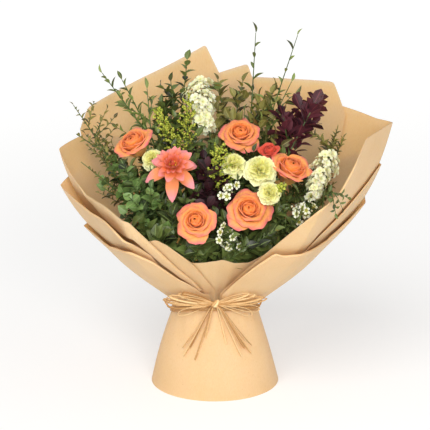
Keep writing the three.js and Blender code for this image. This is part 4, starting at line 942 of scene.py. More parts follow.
def put_at(points, placing):
    """A flower's own points, brought to where it stands."""
    return np.asarray(points) @ placing[0].T + placing[1]


for name, bloom in blooms.items():
    bloom["way"] = np.array(bloom["way"]) / np.linalg.norm(bloom["way"])
    depth = head_depth.get(name, head_depth[name.split("_")[0]])
    bloom["foot"] = np.array(bloom["head"]) - bloom["way"] * bloom["radius"] * depth
    bloom["top"] = bloom["foot"] - bloom["way"] * 2.4
print(len(blooms), "blooms and", len(spikes | plumes | wax_sprays | leafy_stems), "other stems")

# %% [markdown]
# ## Where the stems run
# The stems spiral: each leans the same way round, so that they cross at the twine and fan out above and
# below it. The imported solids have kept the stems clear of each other. Each ring of a solid's stem gives
# one point of its middle line, and the fine stem follows those points. Its first point is lifted by 0.7 mm,
# so that the slanting cut end stays above the surface.

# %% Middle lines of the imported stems
ring_gap = 5.2


def stem_line(node, top):
    """A packed stem's middle line, from its cut end to its top: one point for each ring of its mesh."""
    mesh = nodes[node].data
    points = np.empty(len(mesh.vertices) * 3, np.float32)
    mesh.vertices.foreach_get("co", points)
    points = np.unique(to_skirt(points.reshape(-1, 3)).round(1), axis=0)
    points = points[points[:, 2] < top[2] - 6]
    left, line = list(range(len(points))), []
    while left:
        ring = [left.pop(0)]
        for member in ring:
            near = [k for k in left if np.linalg.norm(points[k] - points[member]) < ring_gap]
            ring += near
            left = [k for k in left if k not in near]
        if 3 <= len(ring) <= 8:
            line.append(points[ring].mean(axis=0))
    line.sort(key=lambda point: point[2])
    line[0] = line[0] + [0, 0, 0.7]
    return np.array(line + [np.asarray(top, float)])


lines = {name: stem_line(name + "_stem", bloom["top"]) for name, bloom in blooms.items()}
lines |= {name: stem_line(name + "_stem", plant["root"]) for name, plant in spikes.items()}
others = plumes | wax_sprays | leafy_stems
lines |= {name: stem_line(name, plant["root"]) for name, plant in others.items()}
print("points on a stem:", sorted({len(line) for line in lines.values()}))

# %% [markdown]
# ## Leaves
# A leaf is a thin blade, folded along its midrib and bent down at its tip. Five outlines are enough for all
# the foliage. A leaf has only forty faces, because the leafy stems alone carry about 2,600 of them.

# %% Patterns of leaves


def blade(outline, length, width, rows, columns, bend=0.3, fold=0.25, wave=0.0):
    """A grid along +Y that faces +Z. The outline is half widths at even steps from foot to tip."""
    v = np.linspace(0, 1, rows)[:, None]
    u = np.linspace(-1, 1, columns)[None]
    half = np.interp(v, np.linspace(0, 1, len(outline)), outline) * width / 2
    angle = -bend * v**1.3 * 2
    step = length / (rows - 1)
    y = np.concatenate([[[0]], np.cumsum(np.cos(angle[1:]) * step, axis=0)])
    z = np.concatenate([[[0]], np.cumsum(np.sin(angle[1:]) * step, axis=0)])
    lift = fold * np.abs(u) * half + wave * length * np.sin(v * 11) * np.abs(u) ** 2
    return np.stack(np.broadcast_arrays(half * u, y, z + lift), axis=-1)


leaf_shapes = {
    "narrow": dict(outline=[0.07, 0.6, 0.92, 1.0, 0.85, 0.5, 0.05], bend=0.22, fold=0.3),
    "oval": dict(outline=[0.08, 0.72, 1.0, 0.97, 0.78, 0.42, 0.05], bend=0.28, fold=0.22),
    "round": dict(outline=[0.08, 0.78, 1.02, 1.0, 0.84, 0.5, 0.06], bend=0.25, fold=0.2, wave=0.012),
    "spoon": dict(outline=[0.07, 0.35, 0.66, 0.92, 1.0, 0.78, 0.1], bend=0.2, fold=0.16),
    "needle": dict(outline=[0.4, 0.9, 1.0, 0.95, 0.8, 0.55, 0.1], bend=0.2, fold=0.5),
}
leaf_patterns = {}
for key, shape in leaf_shapes.items():
    points, faces, uv = closed_sheet(blade(length=1, width=1, rows=6, columns=5, **shape), 0.012)
    leaf_patterns[key] = new_pattern("leaf_" + key, points, faces, uv)
kinds = {
    "plum": dict(shape="spoon", length=30, width=19, pitch=0.75),
    "broad": dict(shape="oval", length=30, width=19, pitch=0.95),
    "oval": dict(shape="oval", length=24, width=14, pitch=0.85),
    "round": dict(shape="round", length=20, width=17, pitch=0.95),
    "willow": dict(shape="narrow", length=21, width=7.5, pitch=0.75),
    "small": dict(shape="narrow", length=12, width=6, pitch=0.85),
    "needle": dict(shape="needle", length=13, width=2.2, pitch=0.7),
}
print(len(leaf_patterns), "leaf patterns of", len(points), "points")

# %% [markdown]
# ## Where leaves grow
# Leaves follow one another round a twig by the golden angle, as on most real plants, which keeps each out
# of the shade of the one below. A leaf that would pass through the paper or a bloom, or hide a bloom from
# in front, is turned on twice, and then left out. Each plant also fills its own region of the bouquet's
# surface with short twigs, which spring from its nearest stem.

# %% Where a leaf can grow
zones = [(np.array(b["head"], float), b["way"], b["radius"]) for b in blooms.values()]
for plant in spikes.values():
    root, tip = np.array(plant["root"], float), np.array(plant["tip"], float)
    for share in (0.35, 0.6, 0.85):
        zones.append((root + (tip - root) * share, np.array([0, -0.95, 0.3]), plant["spread"]))


def wall_reach(point):
    """How far out the wrapper's wall is, in a point's direction and at its height."""
    phi = np.arctan2(point[0], -point[1])
    rise = point[2] - tie_at(phi)
    if rise > 0:
        return np.hypot(*wall(np.degrees(phi), rise)[:2])
    waist = waist_front + (waist_side - waist_front) * np.sin(phi) ** 2
    return neck_radius + (waist - neck_radius) * (point[2] - neck_height) / (tie_at(phi) - neck_height)


clear_ahead = 70


def has_room(point, margin=3.0, near=1.0):
    """Whether a point is inside the wrapper, outside every bloom, and doesn't hide one from in front."""
    if np.hypot(point[0], point[1]) > wall_reach(point) - margin:
        return False
    for head, way, radius in zones:
        away = point - head
        ahead = away @ way
        if np.linalg.norm(away) < radius * near:
            return False
        if -radius * 0.2 < ahead < clear_ahead and np.linalg.norm(away - way * ahead) < radius * 0.86:
            return False
    return True


print("room at the middle of the front:", has_room(np.array([0.0, -70.0, 215.0])))

# %% Growing twigs and leaves


def bent_line(start, end, rise, count=7):
    """A twig's points: a bow between two points."""
    t = np.linspace(0, 1, count)[:, None]
    start, end = np.asarray(start, float), np.asarray(end, float)
    high = (start + end) / 2 + np.array([0, 0, rise])
    return (1 - t) ** 2 * start + 2 * t * (1 - t) * high + t**2 * end


def along(line, share):
    """The point and direction at a share of a line's length."""
    steps = np.linalg.norm(np.diff(line, axis=0), axis=1)
    reach = np.concatenate([[0], np.cumsum(steps)])
    place = share * reach[-1]
    k = min(int(np.searchsorted(reach, place, side="right")) - 1, len(steps) - 1)
    way = (line[k + 1] - line[k]) / steps[k]
    return line[k] + way * (place - reach[k]), way


def leaves_on(places, line, count, kind, draw, first=0.12, margin=3.0, small=1.0):
    """Leaves round a twig by the golden angle, with one at the tip."""
    kind = kinds[kind]
    start = draw.uniform(0, 6)
    for k in range(count):
        last = k == count - 1
        share = 1.0 if last else first + (0.97 - first) * k / max(count - 1, 1)
        point, way = along(line, share)
        pitch = 0.15 if last else kind["pitch"] * draw.uniform(0.75, 1.25)
        grown = small * draw.uniform(0.7, 1.12) * (1 - 0.3 * share)
        for attempt in range(3):
            side = square_to(way, start + k * golden_angle + attempt * 1.9)
            leaf_way = way * math.cos(pitch) + side * math.sin(pitch) + np.array([0, 0, 0.12])
            leaf_face = way * math.sin(pitch) - side * math.cos(pitch)
            leaf_face = leaf_face + np.array([draw.uniform(-0.3, 0.3), -0.35, 0.35])
            tip = point + leaf_way * kind["length"] * grown
            if has_room(tip, margin) and has_room((point + tip) / 2, margin):
                size = np.array([kind["width"], kind["length"], kind["length"]]) * grown
                places.add(point, leaf_way, leaf_face, size, draw.uniform(0, 1))
                break


dome_front, dome_level, dome_slope, dome_curve = -82, 250, 0.8, 0.0012


def dome(x, z, back):
    """A point of the bouquet's foliage surface, kept inside the wrapper."""
    point = np.array([x, dome_front + dome_slope * (z - dome_level) + back + dome_curve * x * x, z])
    for _ in range(3):
        reach = np.hypot(point[0], point[1])
        most = wall_reach(point) - 9
        if reach > most:
            point[:2] *= most / reach
    return point


def filler_lines(grown, fill, draw):
    """Twigs from a plant's grown lines to points of the foliage surface in its own region."""
    (low_x, high_x), (low_z, high_z), count = fill
    starts = np.array([along(line, share)[0] for line in grown for share in np.linspace(0.35, 0.9, 12)])
    made = []
    for k in range(count):
        x = low_x + (high_x - low_x) * ((k + draw.uniform(0.2, 0.8)) * golden_share % 1)
        z = low_z + (high_z - low_z) * (k + draw.uniform(0.1, 0.9)) / count
        target = dome(x, z, draw.uniform(0, 24))
        under = starts[starts[:, 2] < z - 14]
        if not len(under) or not has_room(target, 4, 0.9):
            continue
        cost = np.linalg.norm(under - target, axis=1) + np.abs(target[2] - under[:, 2] - 45) * 0.5
        start = under[np.argmin(cost)]
        if np.linalg.norm(start - target) < 110:
            made.append(bent_line(start, target, draw.uniform(-4, 8)))
    return made


print("foliage surface at the front:", dome(0, 230, 0).round())

# %% [markdown]
# ## Leaf finishes
# Fresh leaves are waxy: dark green, with a paler midrib and a soft highlight. No two leaves of a stem are
# quite one green, so each copy's tone picks its place between a dark and a light value. Smokebush leaves
# are a deep wine colour, duller and with a redder rib. The smokebush in the middle takes a darker copy of
# that finish, which is painted shade for its place deep among the blooms. Blotches of 11 mm break the green
# up, and seven bands of a sine, slanted from the midrib, are the side veins. Stems are duller than leaves,
# with soft patches of light and dark green about 17 mm long.

# %% Leaf finishes
def sheet_values(tree):
    """What a finish can know of a leaf or petal: tone, UV, height on the sheet, distance from its midrib."""
    tone = add_node(tree, "ShaderNodeAttribute", attribute_name="tone").outputs["Fac"]
    sheet_uv = add_node(tree, "ShaderNodeUVMap", uv_map="sheet")
    axes = add_node(tree, "ShaderNodeSeparateXYZ", {"Vector": sheet_uv}).outputs
    aside = add_node(tree, "ShaderNodeMath", {0: axes["X"], 1: 0.5}, operation="SUBTRACT")
    return tone, sheet_uv, axes["Y"], add_node(tree, "ShaderNodeMath", {0: aside}, operation="ABSOLUTE")


def leaf_finish(name, dark, light, rib, roughness=0.42):
    """A leaf's green from dark to light, with a paler midrib and side veins, a little sunk."""
    finish, tree, shader = new_finish(name, roughness, 0.45, subsurface=0.04, glow=0.002)
    tone, _, up, away = sheet_values(tree)
    place = add_node(tree, "ShaderNodeTexCoord").outputs["Object"]
    blotch = add_node(tree, "ShaderNodeTexNoise", {"Vector": place, "Scale": 90.0, "Detail": 3.0})
    shade = add_node(tree, "ShaderNodeMath", {0: blotch, 1: 0.7, 2: tone}, operation="MULTIPLY_ADD")
    green = add_node(tree, "ShaderNodeValToRGB", {"Fac": shade}, [(0.35, dark), (1.0, light)])
    slant = add_node(tree, "ShaderNodeMath", {0: away, 1: -0.7, 2: up}, operation="MULTIPLY_ADD")
    bands = add_node(tree, "ShaderNodeMath", {0: slant, 1: 44.0}, operation="MULTIPLY")
    veins = add_node(tree, "ShaderNodeMath", {0: bands}, operation="SINE")
    vein_line = add_node(tree, "ShaderNodeMapRange", {"Value": veins, "From Min": 0.8, "To Max": 0.3})
    rib_span = {"Value": away, "From Min": 0.07, "From Max": 0.02, "To Max": 0.8}
    rib_line = add_node(tree, "ShaderNodeMapRange", rib_span)
    paler = add_node(tree, "ShaderNodeMath", {0: vein_line, 1: rib_line}, operation="MAXIMUM")
    veined = add_node(tree, "ShaderNodeMix", {"Factor": paler, "A": green, "B": rib}, data_type="RGBA")
    groove = {"Strength": 0.35, "Distance": 0.0004, "Height": paler}
    sunk = add_node(tree, "ShaderNodeBump", groove, invert=True)
    feed(tree, shader, {"Base Color": veined, "Normal": sunk})
    return finish


leaf_finishes = {
    "deep": leaf_finish("deep_green_leaf", "#0B1207", "#606F36", "#7E8F52", 0.38),
    "fresh": leaf_finish("fresh_green_leaf", "#29381A", "#84954C", "#A4B26E"),
    "glossy": leaf_finish("glossy_green_leaf", "#0F190C", "#72904C", "#93AA6C", 0.33),
    "olive": leaf_finish("olive_leaf", "#3A3418", "#86803E", "#A09A5E", 0.55),
    "plum": leaf_finish("plum_leaf", "#26101A", "#5E2A34", "#7A3A40", 0.5),
    # A darker copy of the plum finish: painted shade for the smokebush deep in the middle of the bouquet.
    "plum_in_painted_shade": leaf_finish("dark_plum_leaf", "#14080C", "#3A161E", "#4C2028", 0.5),
}
finish_of = {"smokebush_right": "plum", "smokebush_centre": "plum_in_painted_shade", "pittosporum_left": "glossy"}
finish_of |= dict.fromkeys(["ruscus_left", "ruscus_tall"], "fresh")
finish_of |= dict.fromkeys(["myrtle_left", "box_left", "rosemary_right", "eucalyptus_right"], "olive")
stem_finish, tree, shader = new_finish("green_stem", 0.5, 0.4)
place = add_node(tree, "ShaderNodeTexCoord").outputs["Object"]
streak = add_node(tree, "ShaderNodeTexNoise", {"Vector": place, "Scale": 60.0, "Detail": 3.0})
stem_green = add_node(tree, "ShaderNodeValToRGB", {"Fac": streak}, [(0.3, "#33461F"), (0.7, "#5F7338")])
feed(tree, shader, {"Base Color": stem_green})
print(len(leaf_finishes), "leaf finishes")

# %% [markdown]
# ## Leafy stems
# Every leafy stem is grown in one way: a main stem, its twigs, and the short twigs that fill its region,
# with leaves a few millimetres apart. Growing them by rule is quicker than setting 2,600 leaves by hand,
# and the fixed seeds give the same plants each time. One small sprig hangs out over the paper, so the
# paper's edge doesn't stop its leaves.

# %% Leafy stems
leaf_steps = dict(plum=5, broad=6.5, oval=5.5, round=5.2, willow=7.5, small=3.6, needle=2.2)
looser = dict(myrtle_tall=2, ruscus_tall=2, box_left=1.4, myrtle_left=1.4)
for seed, (name, plant) in enumerate(leafy_stems.items()):
    draw = np.random.default_rng(100 + seed)
    main, kind = lines[name], plant["kind"]
    twigs = [bent_line(plant["root"], tip, draw.uniform(-2, 4)) for tip in plant["tips"]]
    fillers = filler_lines([main] + twigs, plant["fill"], draw)
    places = Places()
    spacing = leaf_steps[kind] * looser.get(name, 1)
    for twig in twigs + fillers:
        length = np.linalg.norm(np.diff(twig, axis=0), axis=1).sum()
        leaves_on(places, twig, max(4, int(length / spacing)), kind, draw)
    low = main[main[:, 2] > 165]
    if len(low) > 1:
        leaves_on(places, low, max(3, int(np.linalg.norm(low[-1] - low[0]) / 9)), kind, draw, 0.05)
    if "over" in plant:
        over = bent_line(along(twigs[0], 0.8)[0], plant["over"][0], 48)
        hanging = [over] + [bent_line(along(over, 0.62)[0], end, 3) for end in plant["over"][1:]]
        for twig in hanging:
            leaves_on(places, twig, 9 if twig is over else 5, kind, draw, 0.4, -60.0, 1.15)
        fillers += hanging
    paths = [(main, (2.1, 1.5))] + [(twig, (1.2, 0.5)) for twig in twigs]
    paths += [(twig, (0.8, 0.35)) for twig in fillers]
    pattern = leaf_patterns[kinds[kind]["shape"]]
    leaves = places.grow(name + "_leaves", pattern, leaf_finishes[finish_of.get(name, "deep")])
    stems = swept(name + "_twigs", paths, stem_finish, 5, 1.0, 7)
    dressed[name] = joined(name + "_sprig", [leaves, stems])
    print(name, len(places.points), "leaves,", len(dressed[name].data.polygons), "faces")

# %% [markdown]
# ## Rose petals
# A rose opens from its outside. The heart stays a tight spiral of upright petals, each wrapped half round
# the flower. The outer petals lean out and roll back at the rim, which pinches their tips to points.
# Each petal stands about 137.5 degrees on from the one before, so none sits straight above another. The
# petals could be sculpted one by one, but one rule from the heart to the rim gives all six flowers, each
# as far open as it is. A petal's colour runs from a deep foot through orange to a pink rim, and the outer
# petals have a golden foot and the pinkest rims. The heart petals' deep red-orange foot is partly their own
# deeper colour and partly painted shade, for the gaps deep between the petals. The skin is velvety, which a
# little sheen shows. Its fine veins are noise stretched along the petal, about 1.4 mm apart, which is
# coarser than real ones, so that they show. The bud is one deep coral, and lets more light through.

# %% Rose petals


def rose_petals(placing, opening, count, draw):
    """Petals from the heart (share 0) out to the rim (share 1), as one stacked mesh."""
    made = []
    v = np.linspace(0, 1, 12)[:, None]
    u = np.linspace(-1, 1, 11)[None]
    for k in range(count):
        s = k / (count - 1)
        turn = k * golden_angle + draw.uniform(-0.12, 0.12)
        foot_radius_here = 1.6 + 3.2 * s
        tip_radius = np.interp(s, [0, 0.25, 0.55, 0.8, 1], [0.8, 6.5, 14.5, 22, 29])
        tip_radius = max(tip_radius * (0.35 + 0.65 * opening), 0.8) * draw.uniform(0.94, 1.06)
        tip_height = np.interp(s, [0, 0.3, 0.6, 0.8, 1], [25, 27, 24.5, 20, 14 + 20 * (1 - opening)])
        half = np.interp(s, [0, 0.3, 0.7, 1], [9, 13, 17, 18.5])
        peak = 1 + 0.05 * np.exp(-((u / 0.2) ** 2)) * v**6 * min(1, s * 2.5)
        v_here = v * (1 - 0.16 * u**2 * v) * peak
        width = half * (0.34 + 0.66 * np.sin(np.pi / 2 * np.minimum(1, v / 0.62)))
        width = width * (1 - 0.26 * smooth_step(0.75, 1, v))
        cup = 3.6 * (1 - s) + 2.2
        out = foot_radius_here + (tip_radius - foot_radius_here) * v_here**1.2 + cup * np.sin(np.pi * v_here)
        high = 1 + (tip_height - 1) * np.sin(np.pi / 2 * np.clip(v_here, 0, 1.1) ** 0.9)
        roll = smooth_step(0.72, 1.02, v_here) * s * opening
        edge = np.abs(u) ** 3 * smooth_step(0.25, 0.9, v) * s
        side_fold = smooth_step(0.25, 0.95, np.abs(u)) * smooth_step(0.55, 1, v) * s
        wave = np.sin(u * 4 + draw.uniform(0, 6)) * v**3 * s
        out = out + 3.6 * roll + 1.6 * edge + 0.9 * wave + 1.5 * side_fold
        high = high - 3.2 * roll - 2.6 * side_fold * opening + 0.8 * wave
        round_radius = np.maximum(out, 1.5) + (0.3 + 10 * s**1.5) * (0.25 + 0.75 * v)
        angle = np.clip(u * width / round_radius, -2.3, 2.3)
        twist = (0.75 + 0.5 * s) * u
        x = out - round_radius + (round_radius + twist) * np.cos(angle)
        y = (round_radius + twist) * np.sin(angle)
        x, y = x * np.cos(turn) - y * np.sin(turn), x * np.sin(turn) + y * np.cos(turn)
        grid = np.stack(np.broadcast_arrays(x, y, high), axis=-1)
        points, faces, uv = closed_sheet(grid, 0.35)
        made.append((put_at(points, placing), faces, uv, s))
    return stacked(made)


def petal_finish(name, looks, colours, foot=0.3, rim=0.95, outer_foot=None):
    """A petal's colours, as (heart's petals, outer petals, foot, rim), and where foot and rim begin."""
    finish, tree, shader = new_finish(name, **looks)
    tone, sheet_uv, up, away = sheet_values(tree)
    heart, outer, base, edge = colours
    side_span = {"Value": away, "From Min": 0.3, "From Max": 0.5, "To Max": 0.9}
    near_side = add_node(tree, "ShaderNodeMapRange", side_span)
    up_side = add_node(tree, "ShaderNodeMath", {0: near_side, 1: up}, operation="MULTIPLY")
    place = add_node(tree, "ShaderNodeTexCoord").outputs["Object"]
    blotch = add_node(tree, "ShaderNodeTexNoise", {"Vector": place, "Scale": 120.0, "Detail": 3.0})
    nearer = add_node(tree, "ShaderNodeMath", {0: up_side, 1: up}, operation="MAXIMUM")
    spread = add_node(tree, "ShaderNodeMath", {0: blotch, 1: 0.3, 2: nearer}, operation="MULTIPLY_ADD")
    body = add_node(tree, "ShaderNodeMix", {"Factor": tone, "A": heart, "B": outer}, data_type="RGBA")
    foot_span = {"Value": up, "From Min": foot, "From Max": foot + 0.35, "To Min": 1, "To Max": 0}
    low = add_node(tree, "ShaderNodeMapRange", foot_span)
    foot_colours = {"Factor": tone, "A": base, "B": outer_foot or base}
    feet = add_node(tree, "ShaderNodeMix", foot_colours, data_type="RGBA")
    footed = add_node(tree, "ShaderNodeMix", {"Factor": low, "A": body, "B": feet}, data_type="RGBA")
    high = add_node(tree, "ShaderNodeMapRange", {"Value": spread, "From Min": rim, "From Max": rim + 0.25})
    pinker = add_node(tree, "ShaderNodeMath", {0: tone, 1: 0.75, 2: 0.15}, operation="MULTIPLY_ADD")
    share = add_node(tree, "ShaderNodeMath", {0: high, 1: pinker}, operation="MULTIPLY")
    rimmed = add_node(tree, "ShaderNodeMix", {"Factor": share, "A": footed, "B": edge}, data_type="RGBA")
    stretch = add_node(tree, "ShaderNodeMapping", {"Vector": sheet_uv, "Scale": (26, 2, 1)})
    ribs = add_node(tree, "ShaderNodeTexNoise", {"Vector": stretch, "Scale": 1.0, "Detail": 3.0})
    veins = add_node(tree, "ShaderNodeValToRGB", {"Fac": ribs}, [(0.3, 0.86), (0.6, 1.0)])
    veined = add_node(tree, "ShaderNodeMix", {"Factor": 1.0, "A": rimmed, "B": veins}, **stained)
    dent = add_node(tree, "ShaderNodeBump", {"Strength": 0.3, "Distance": 0.0005, "Height": ribs})
    feed(tree, shader, {"Base Color": veined, "Normal": dent})
    return finish


# The heart petals' foot colour is partly their own and partly painted shade for the gaps between them.
rose_finish = petal_finish(
    "velvety_rose_petal",
    dict(roughness=0.6, specular=0.25, sheen=0.1, subsurface=0.08, glow=0.002),
    ("#F6832C", "#FAA75E", "#DC4C10", "#E8667A"), 0.32, 0.92, "#FABA5C",
)
bud_finish = petal_finish(
    "coral_bud_petal",
    dict(roughness=0.6, specular=0.25, sheen=0.15, subsurface=0.15, glow=0.004),
    ("#D9452F", "#E4543F", "#E8763A", "#E0503F"),
)
print("petal finish has", len(rose_finish.node_tree.nodes), "nodes")

# %% [markdown]
# ## Green parts under a flower
# Under the petals a rose has a green hip with five pointed sepals that fold back. It is turned on a lathe
# here: a profile carried round the flower's axis.

# %% Turned shapes and sepals
upright = stood((0, 0, 0), (0, 0, 1))


def lathed(profile, placing=upright, sides=10):
    """A closed turned shape from (radius, height) pairs, first and last on the axis."""
    angle = np.linspace(0, 2 * np.pi, sides, endpoint=False)
    circle = np.stack([np.cos(angle), np.sin(angle), np.zeros(sides)], axis=1)
    rings = [circle * r + [0, 0, z] for r, z in profile[1:-1]]
    points = np.vstack(rings + [[[0, 0, profile[0][1]], [0, 0, profile[-1][1]]]])
    beside = [(i, (i + 1) % sides) for i in range(sides)]
    faces = []
    for low in range(0, (len(rings) - 1) * sides, sides):
        faces += [(low + i, low + j, low + sides + j, low + sides + i) for i, j in beside]
    foot, top = len(rings) * sides, (len(rings) - 1) * sides
    for i, j in beside:
        faces += [(foot, j, i), (foot + 1, top + i, top + j)]
    return put_at(points, placing), faces, np.full((len(points), 2), 0.5)


def calyx(name, placing, radius, length, finish):
    """The green hip under the petals, and five sepals."""
    profile = [(0, -3), (radius * 0.45, -3), (radius * 0.8, -0.5), (radius, 2.5), (radius * 0.7, 5), (0, 6)]
    hip = new_piece(name + "_hip", *lathed(profile, placing)[:2], None, finish)
    places = Places()
    axis = placing[0] @ np.array([0, 0, 1])
    for angle in np.arange(5) * 2 * math.pi / 5:
        side = placing[0] @ np.array([math.cos(angle), math.sin(angle), 0])
        point = placing[1] + side * radius * 0.8 + axis * 1.5
        places.add(point, side - axis * 0.15, axis - side * 0.2, (length * 0.32, length, length))
    return [hip, places.grow(name + "_sepals", leaf_patterns["narrow"], finish)]


stem_draw = np.random.default_rng(77)


def dress_bloom(name, parts, head, way, radius, twigs=9):
    """Keeps a bloom's head, and grows its stem, with leafy side twigs round the back of the head."""
    line, places = lines[name], Places()
    paths = [(line, (2.1, 1.9))]
    upper = line[line[:, 2] > 175]
    if len(upper) > 1:
        leaves_on(places, upper, 14, "oval", stem_draw, 0.15)
    head, way = np.asarray(head, float), np.asarray(way, float)
    turn = stood((0, 0, 0), way)[0]
    for k in range(twigs):
        angle = k * golden_angle + stem_draw.uniform(-0.3, 0.3)
        side = turn @ np.array([math.cos(angle), math.sin(angle), 0])
        target = head + side * radius * stem_draw.uniform(1.05, 1.75) - way * stem_draw.uniform(8, 30)
        start = along(line, stem_draw.uniform(0.6, 0.86))[0]
        if start[2] < target[2] - 8 and has_room(target, 5, 0.95):
            twig = bent_line(start, target, stem_draw.uniform(-3, 5))
            paths.append((twig, (0.8, 0.4)))
            count = max(5, int(np.linalg.norm(target - start) / 5))
            leaves_on(places, twig, count, "oval", stem_draw, 0.3, small=0.9)
    leaves = places.grow(name + "_leaves", leaf_patterns["oval"], leaf_finishes["deep"])
    stem = swept(name + "_line", paths, stem_finish, 6, 1.0, 6)
    dressed[name + "_bloom"] = joined(name + "_head", parts)
    dressed[name + "_stem"] = joined(name + "_green", [leaves, stem])
    print(name, len(dressed[name + "_bloom"].data.polygons), "faces")


for seed, (name, bloom) in enumerate(blooms.items()):
    if not name.startswith("rose"):
        continue
    head, way, radius, opening = bloom["head"], bloom["way"], bloom["radius"], bloom["open"]
    bud = name == "rose_bud"
    size = 0.7 if bud else radius / 30 * (1.55 - 0.62 * opening)
    raised = bloom["foot"] + way * (5 if opening == 1 else 2) + [0, 0, 6 if name == "rose_top" else 0]
    lines[name][-1] = raised - way * 2
    placing = stood(raised, way, seed * 1.7, size)
    made = rose_petals(placing, opening, 14 if bud else 27, np.random.default_rng(seed + 20))
    finish = bud_finish if bud else rose_finish
    heart = lathed([(0, 1), (3.5, 4), (4.6, 13), (2.6, 21), (0, 23.5)], placing)
    heart = new_piece(name + "_heart", *heart, finish)
    petals = new_piece(name + "_petals", *made[:3], finish, made[3])
    parts = [petals, heart] + calyx(name, placing, 5.5, 20, leaf_finishes["fresh"])
    dress_bloom(name, parts, head, way, radius)

# %% [markdown]
# ## The salmon bloom
# This flower has pointed petals in five whorls, the outer ones spread flat and turned back at the tips,
# the inner ones cupped and standing up. The petals that hang down in front are the longest. Each is the
# same blade as a leaf, with its own outline, so no new helper is needed. The skin is smoother than a
# rose's, with less sheen. Thin stamens with powdery yellow anthers fill its middle.

# %% Lily
salmon_looks = dict(roughness=0.55, specular=0.3, sheen=0.05, subsurface=0.05, glow=0.002)
salmon = ("#EA6A40", "#F3945E", "#F2A24C", "#F0959E")
lily_finish = petal_finish("salmon_petal", salmon_looks, salmon, 0.1, 0.76, "#F5AC5C")
outline = [0.25, 0.45, 0.74, 0.95, 1.04, 1.0, 0.86, 0.56, 0.1]
whorls = [
    dict(count=7, length=31, width=17, lift=0.12, bend=0.3),
    dict(count=8, length=29, width=14, lift=0.42, bend=0.1),
    dict(count=12, length=26, width=8.5, lift=0.72, bend=0.02),
    dict(count=12, length=22, width=7.5, lift=0.98, bend=-0.12),
    dict(count=9, length=17, width=6, lift=1.22, bend=-0.3),
]
bloom = blooms["lily"]
bloom["foot"] = bloom["foot"] + [0, 0, 3]
placing = stood(bloom["foot"], bloom["way"])
draw = np.random.default_rng(41)
made = []
for layer, whorl in enumerate(whorls):
    for k in range(whorl["count"]):
        angle = layer * 0.55 + (k + draw.uniform(-0.15, 0.15)) / whorl["count"] * 2 * math.pi
        longer = 1.4 if layer == 0 and math.sin(angle) < -0.3 else 1
        length = whorl["length"] * draw.uniform(0.88, 1.1) * longer
        grid = blade(outline, length, whorl["width"], 12, 9, whorl["bend"], -0.12, 0.012)
        grid[..., 2] += (0.055 if layer < 2 else 0.13) * grid[..., 0] ** 2
        tilt = Matrix.Rotation(angle, 3, "Z") @ Matrix.Rotation(-math.pi / 2, 3, "Z")
        tilt = tilt @ Matrix.Rotation(whorl["lift"] + draw.uniform(-0.13, 0.13), 3, "X")
        points, faces, uv = closed_sheet(grid, 0.4)
        points = points @ np.array(tilt).T + [0, 0, 2 + layer * 1.2]
        made.append((put_at(points, placing), faces, uv, 1 - layer * 0.24))
made = stacked(made)
petals = new_piece("lily_petals", *made[:3], lily_finish, made[3])
anther_finish, tree, shader = new_finish("yellow_anther", 0.7, 0.2)
place = add_node(tree, "ShaderNodeTexCoord").outputs["Object"]
dust = add_node(tree, "ShaderNodeTexNoise", {"Vector": place, "Scale": 900.0})
pollen = add_node(tree, "ShaderNodeValToRGB", {"Fac": dust}, [(0.35, "#C98A1E"), (0.65, "#F3CE4E")])
feed(tree, shader, {"Base Color": pollen})
stamens = []
for k in range(9):
    angle = k * golden_angle
    end = np.array([math.cos(angle) * (2 + 0.5 * k), math.sin(angle) * (2 + 0.5 * k), 17 - 0.4 * k])
    stamens.append((put_at([(0, 0, 3), end * [0.4, 0.4, 0.6], end], placing), [0.5, 0.4, 1.1]))
stamens = swept("lily_stamens", stamens, anther_finish, 6, 1.0, 2)
parts = [petals, stamens] + calyx("lily", placing, 4.6, 14, leaf_finishes["fresh"])
dress_bloom("lily", parts, bloom["head"], bloom["way"], bloom["radius"])

# %% [markdown]
# ## Carnations
# A carnation packs dozens of narrow-footed fans into a ball; twenty-six fill it here. Each fan is crimped
# across, more towards its rim, and the rim is cut into fine teeth. The petals are papery and dull, pale
# lemon with a greener foot.

# %% Carnation petals


def carnation_petals(placing, radius, draw, count=26):
    """Crimped, toothed fans, upright in the middle and lying flat outside."""
    made = []
    v = np.linspace(0, 1, 7)[:, None]
    u = np.linspace(-1, 1, 15)[None]
    for k in range(count):
        s = k / (count - 1)
        lift = 1.45 - 1.35 * s**0.9 + draw.uniform(-0.1, 0.1)
        length = radius * (0.86 + 0.16 * s) * draw.uniform(0.92, 1.05)
        fan = 0.75 + 0.3 * s
        teeth = 0.025 * np.cos(np.arange(u.size) * np.pi)[None] * v**4
        crimp = (0.1 + 0.05 * draw.uniform(0, 1)) * radius * np.sin(u * 6 + draw.uniform(0, 6)) * v**2
        reach = length * v * (1 - 0.12 * u**2 + teeth)
        y = reach * np.cos(u * fan)
        x = reach * np.sin(u * fan)
        bend = -0.22 * length * v**3 * s
        grid = np.stack(np.broadcast_arrays(x + 0.02 * radius * u, y, crimp + bend), axis=-1)
        tilt = Matrix.Rotation(k * golden_angle, 3, "Z") @ Matrix.Rotation(lift, 3, "X")
        points, faces, uv = closed_sheet(grid, 0.35)
        points = points @ np.array(tilt).T + [0, 0, 2 + radius * 0.16 * (1 - s)]
        made.append((put_at(points, placing), faces, uv, s))
    return stacked(made)


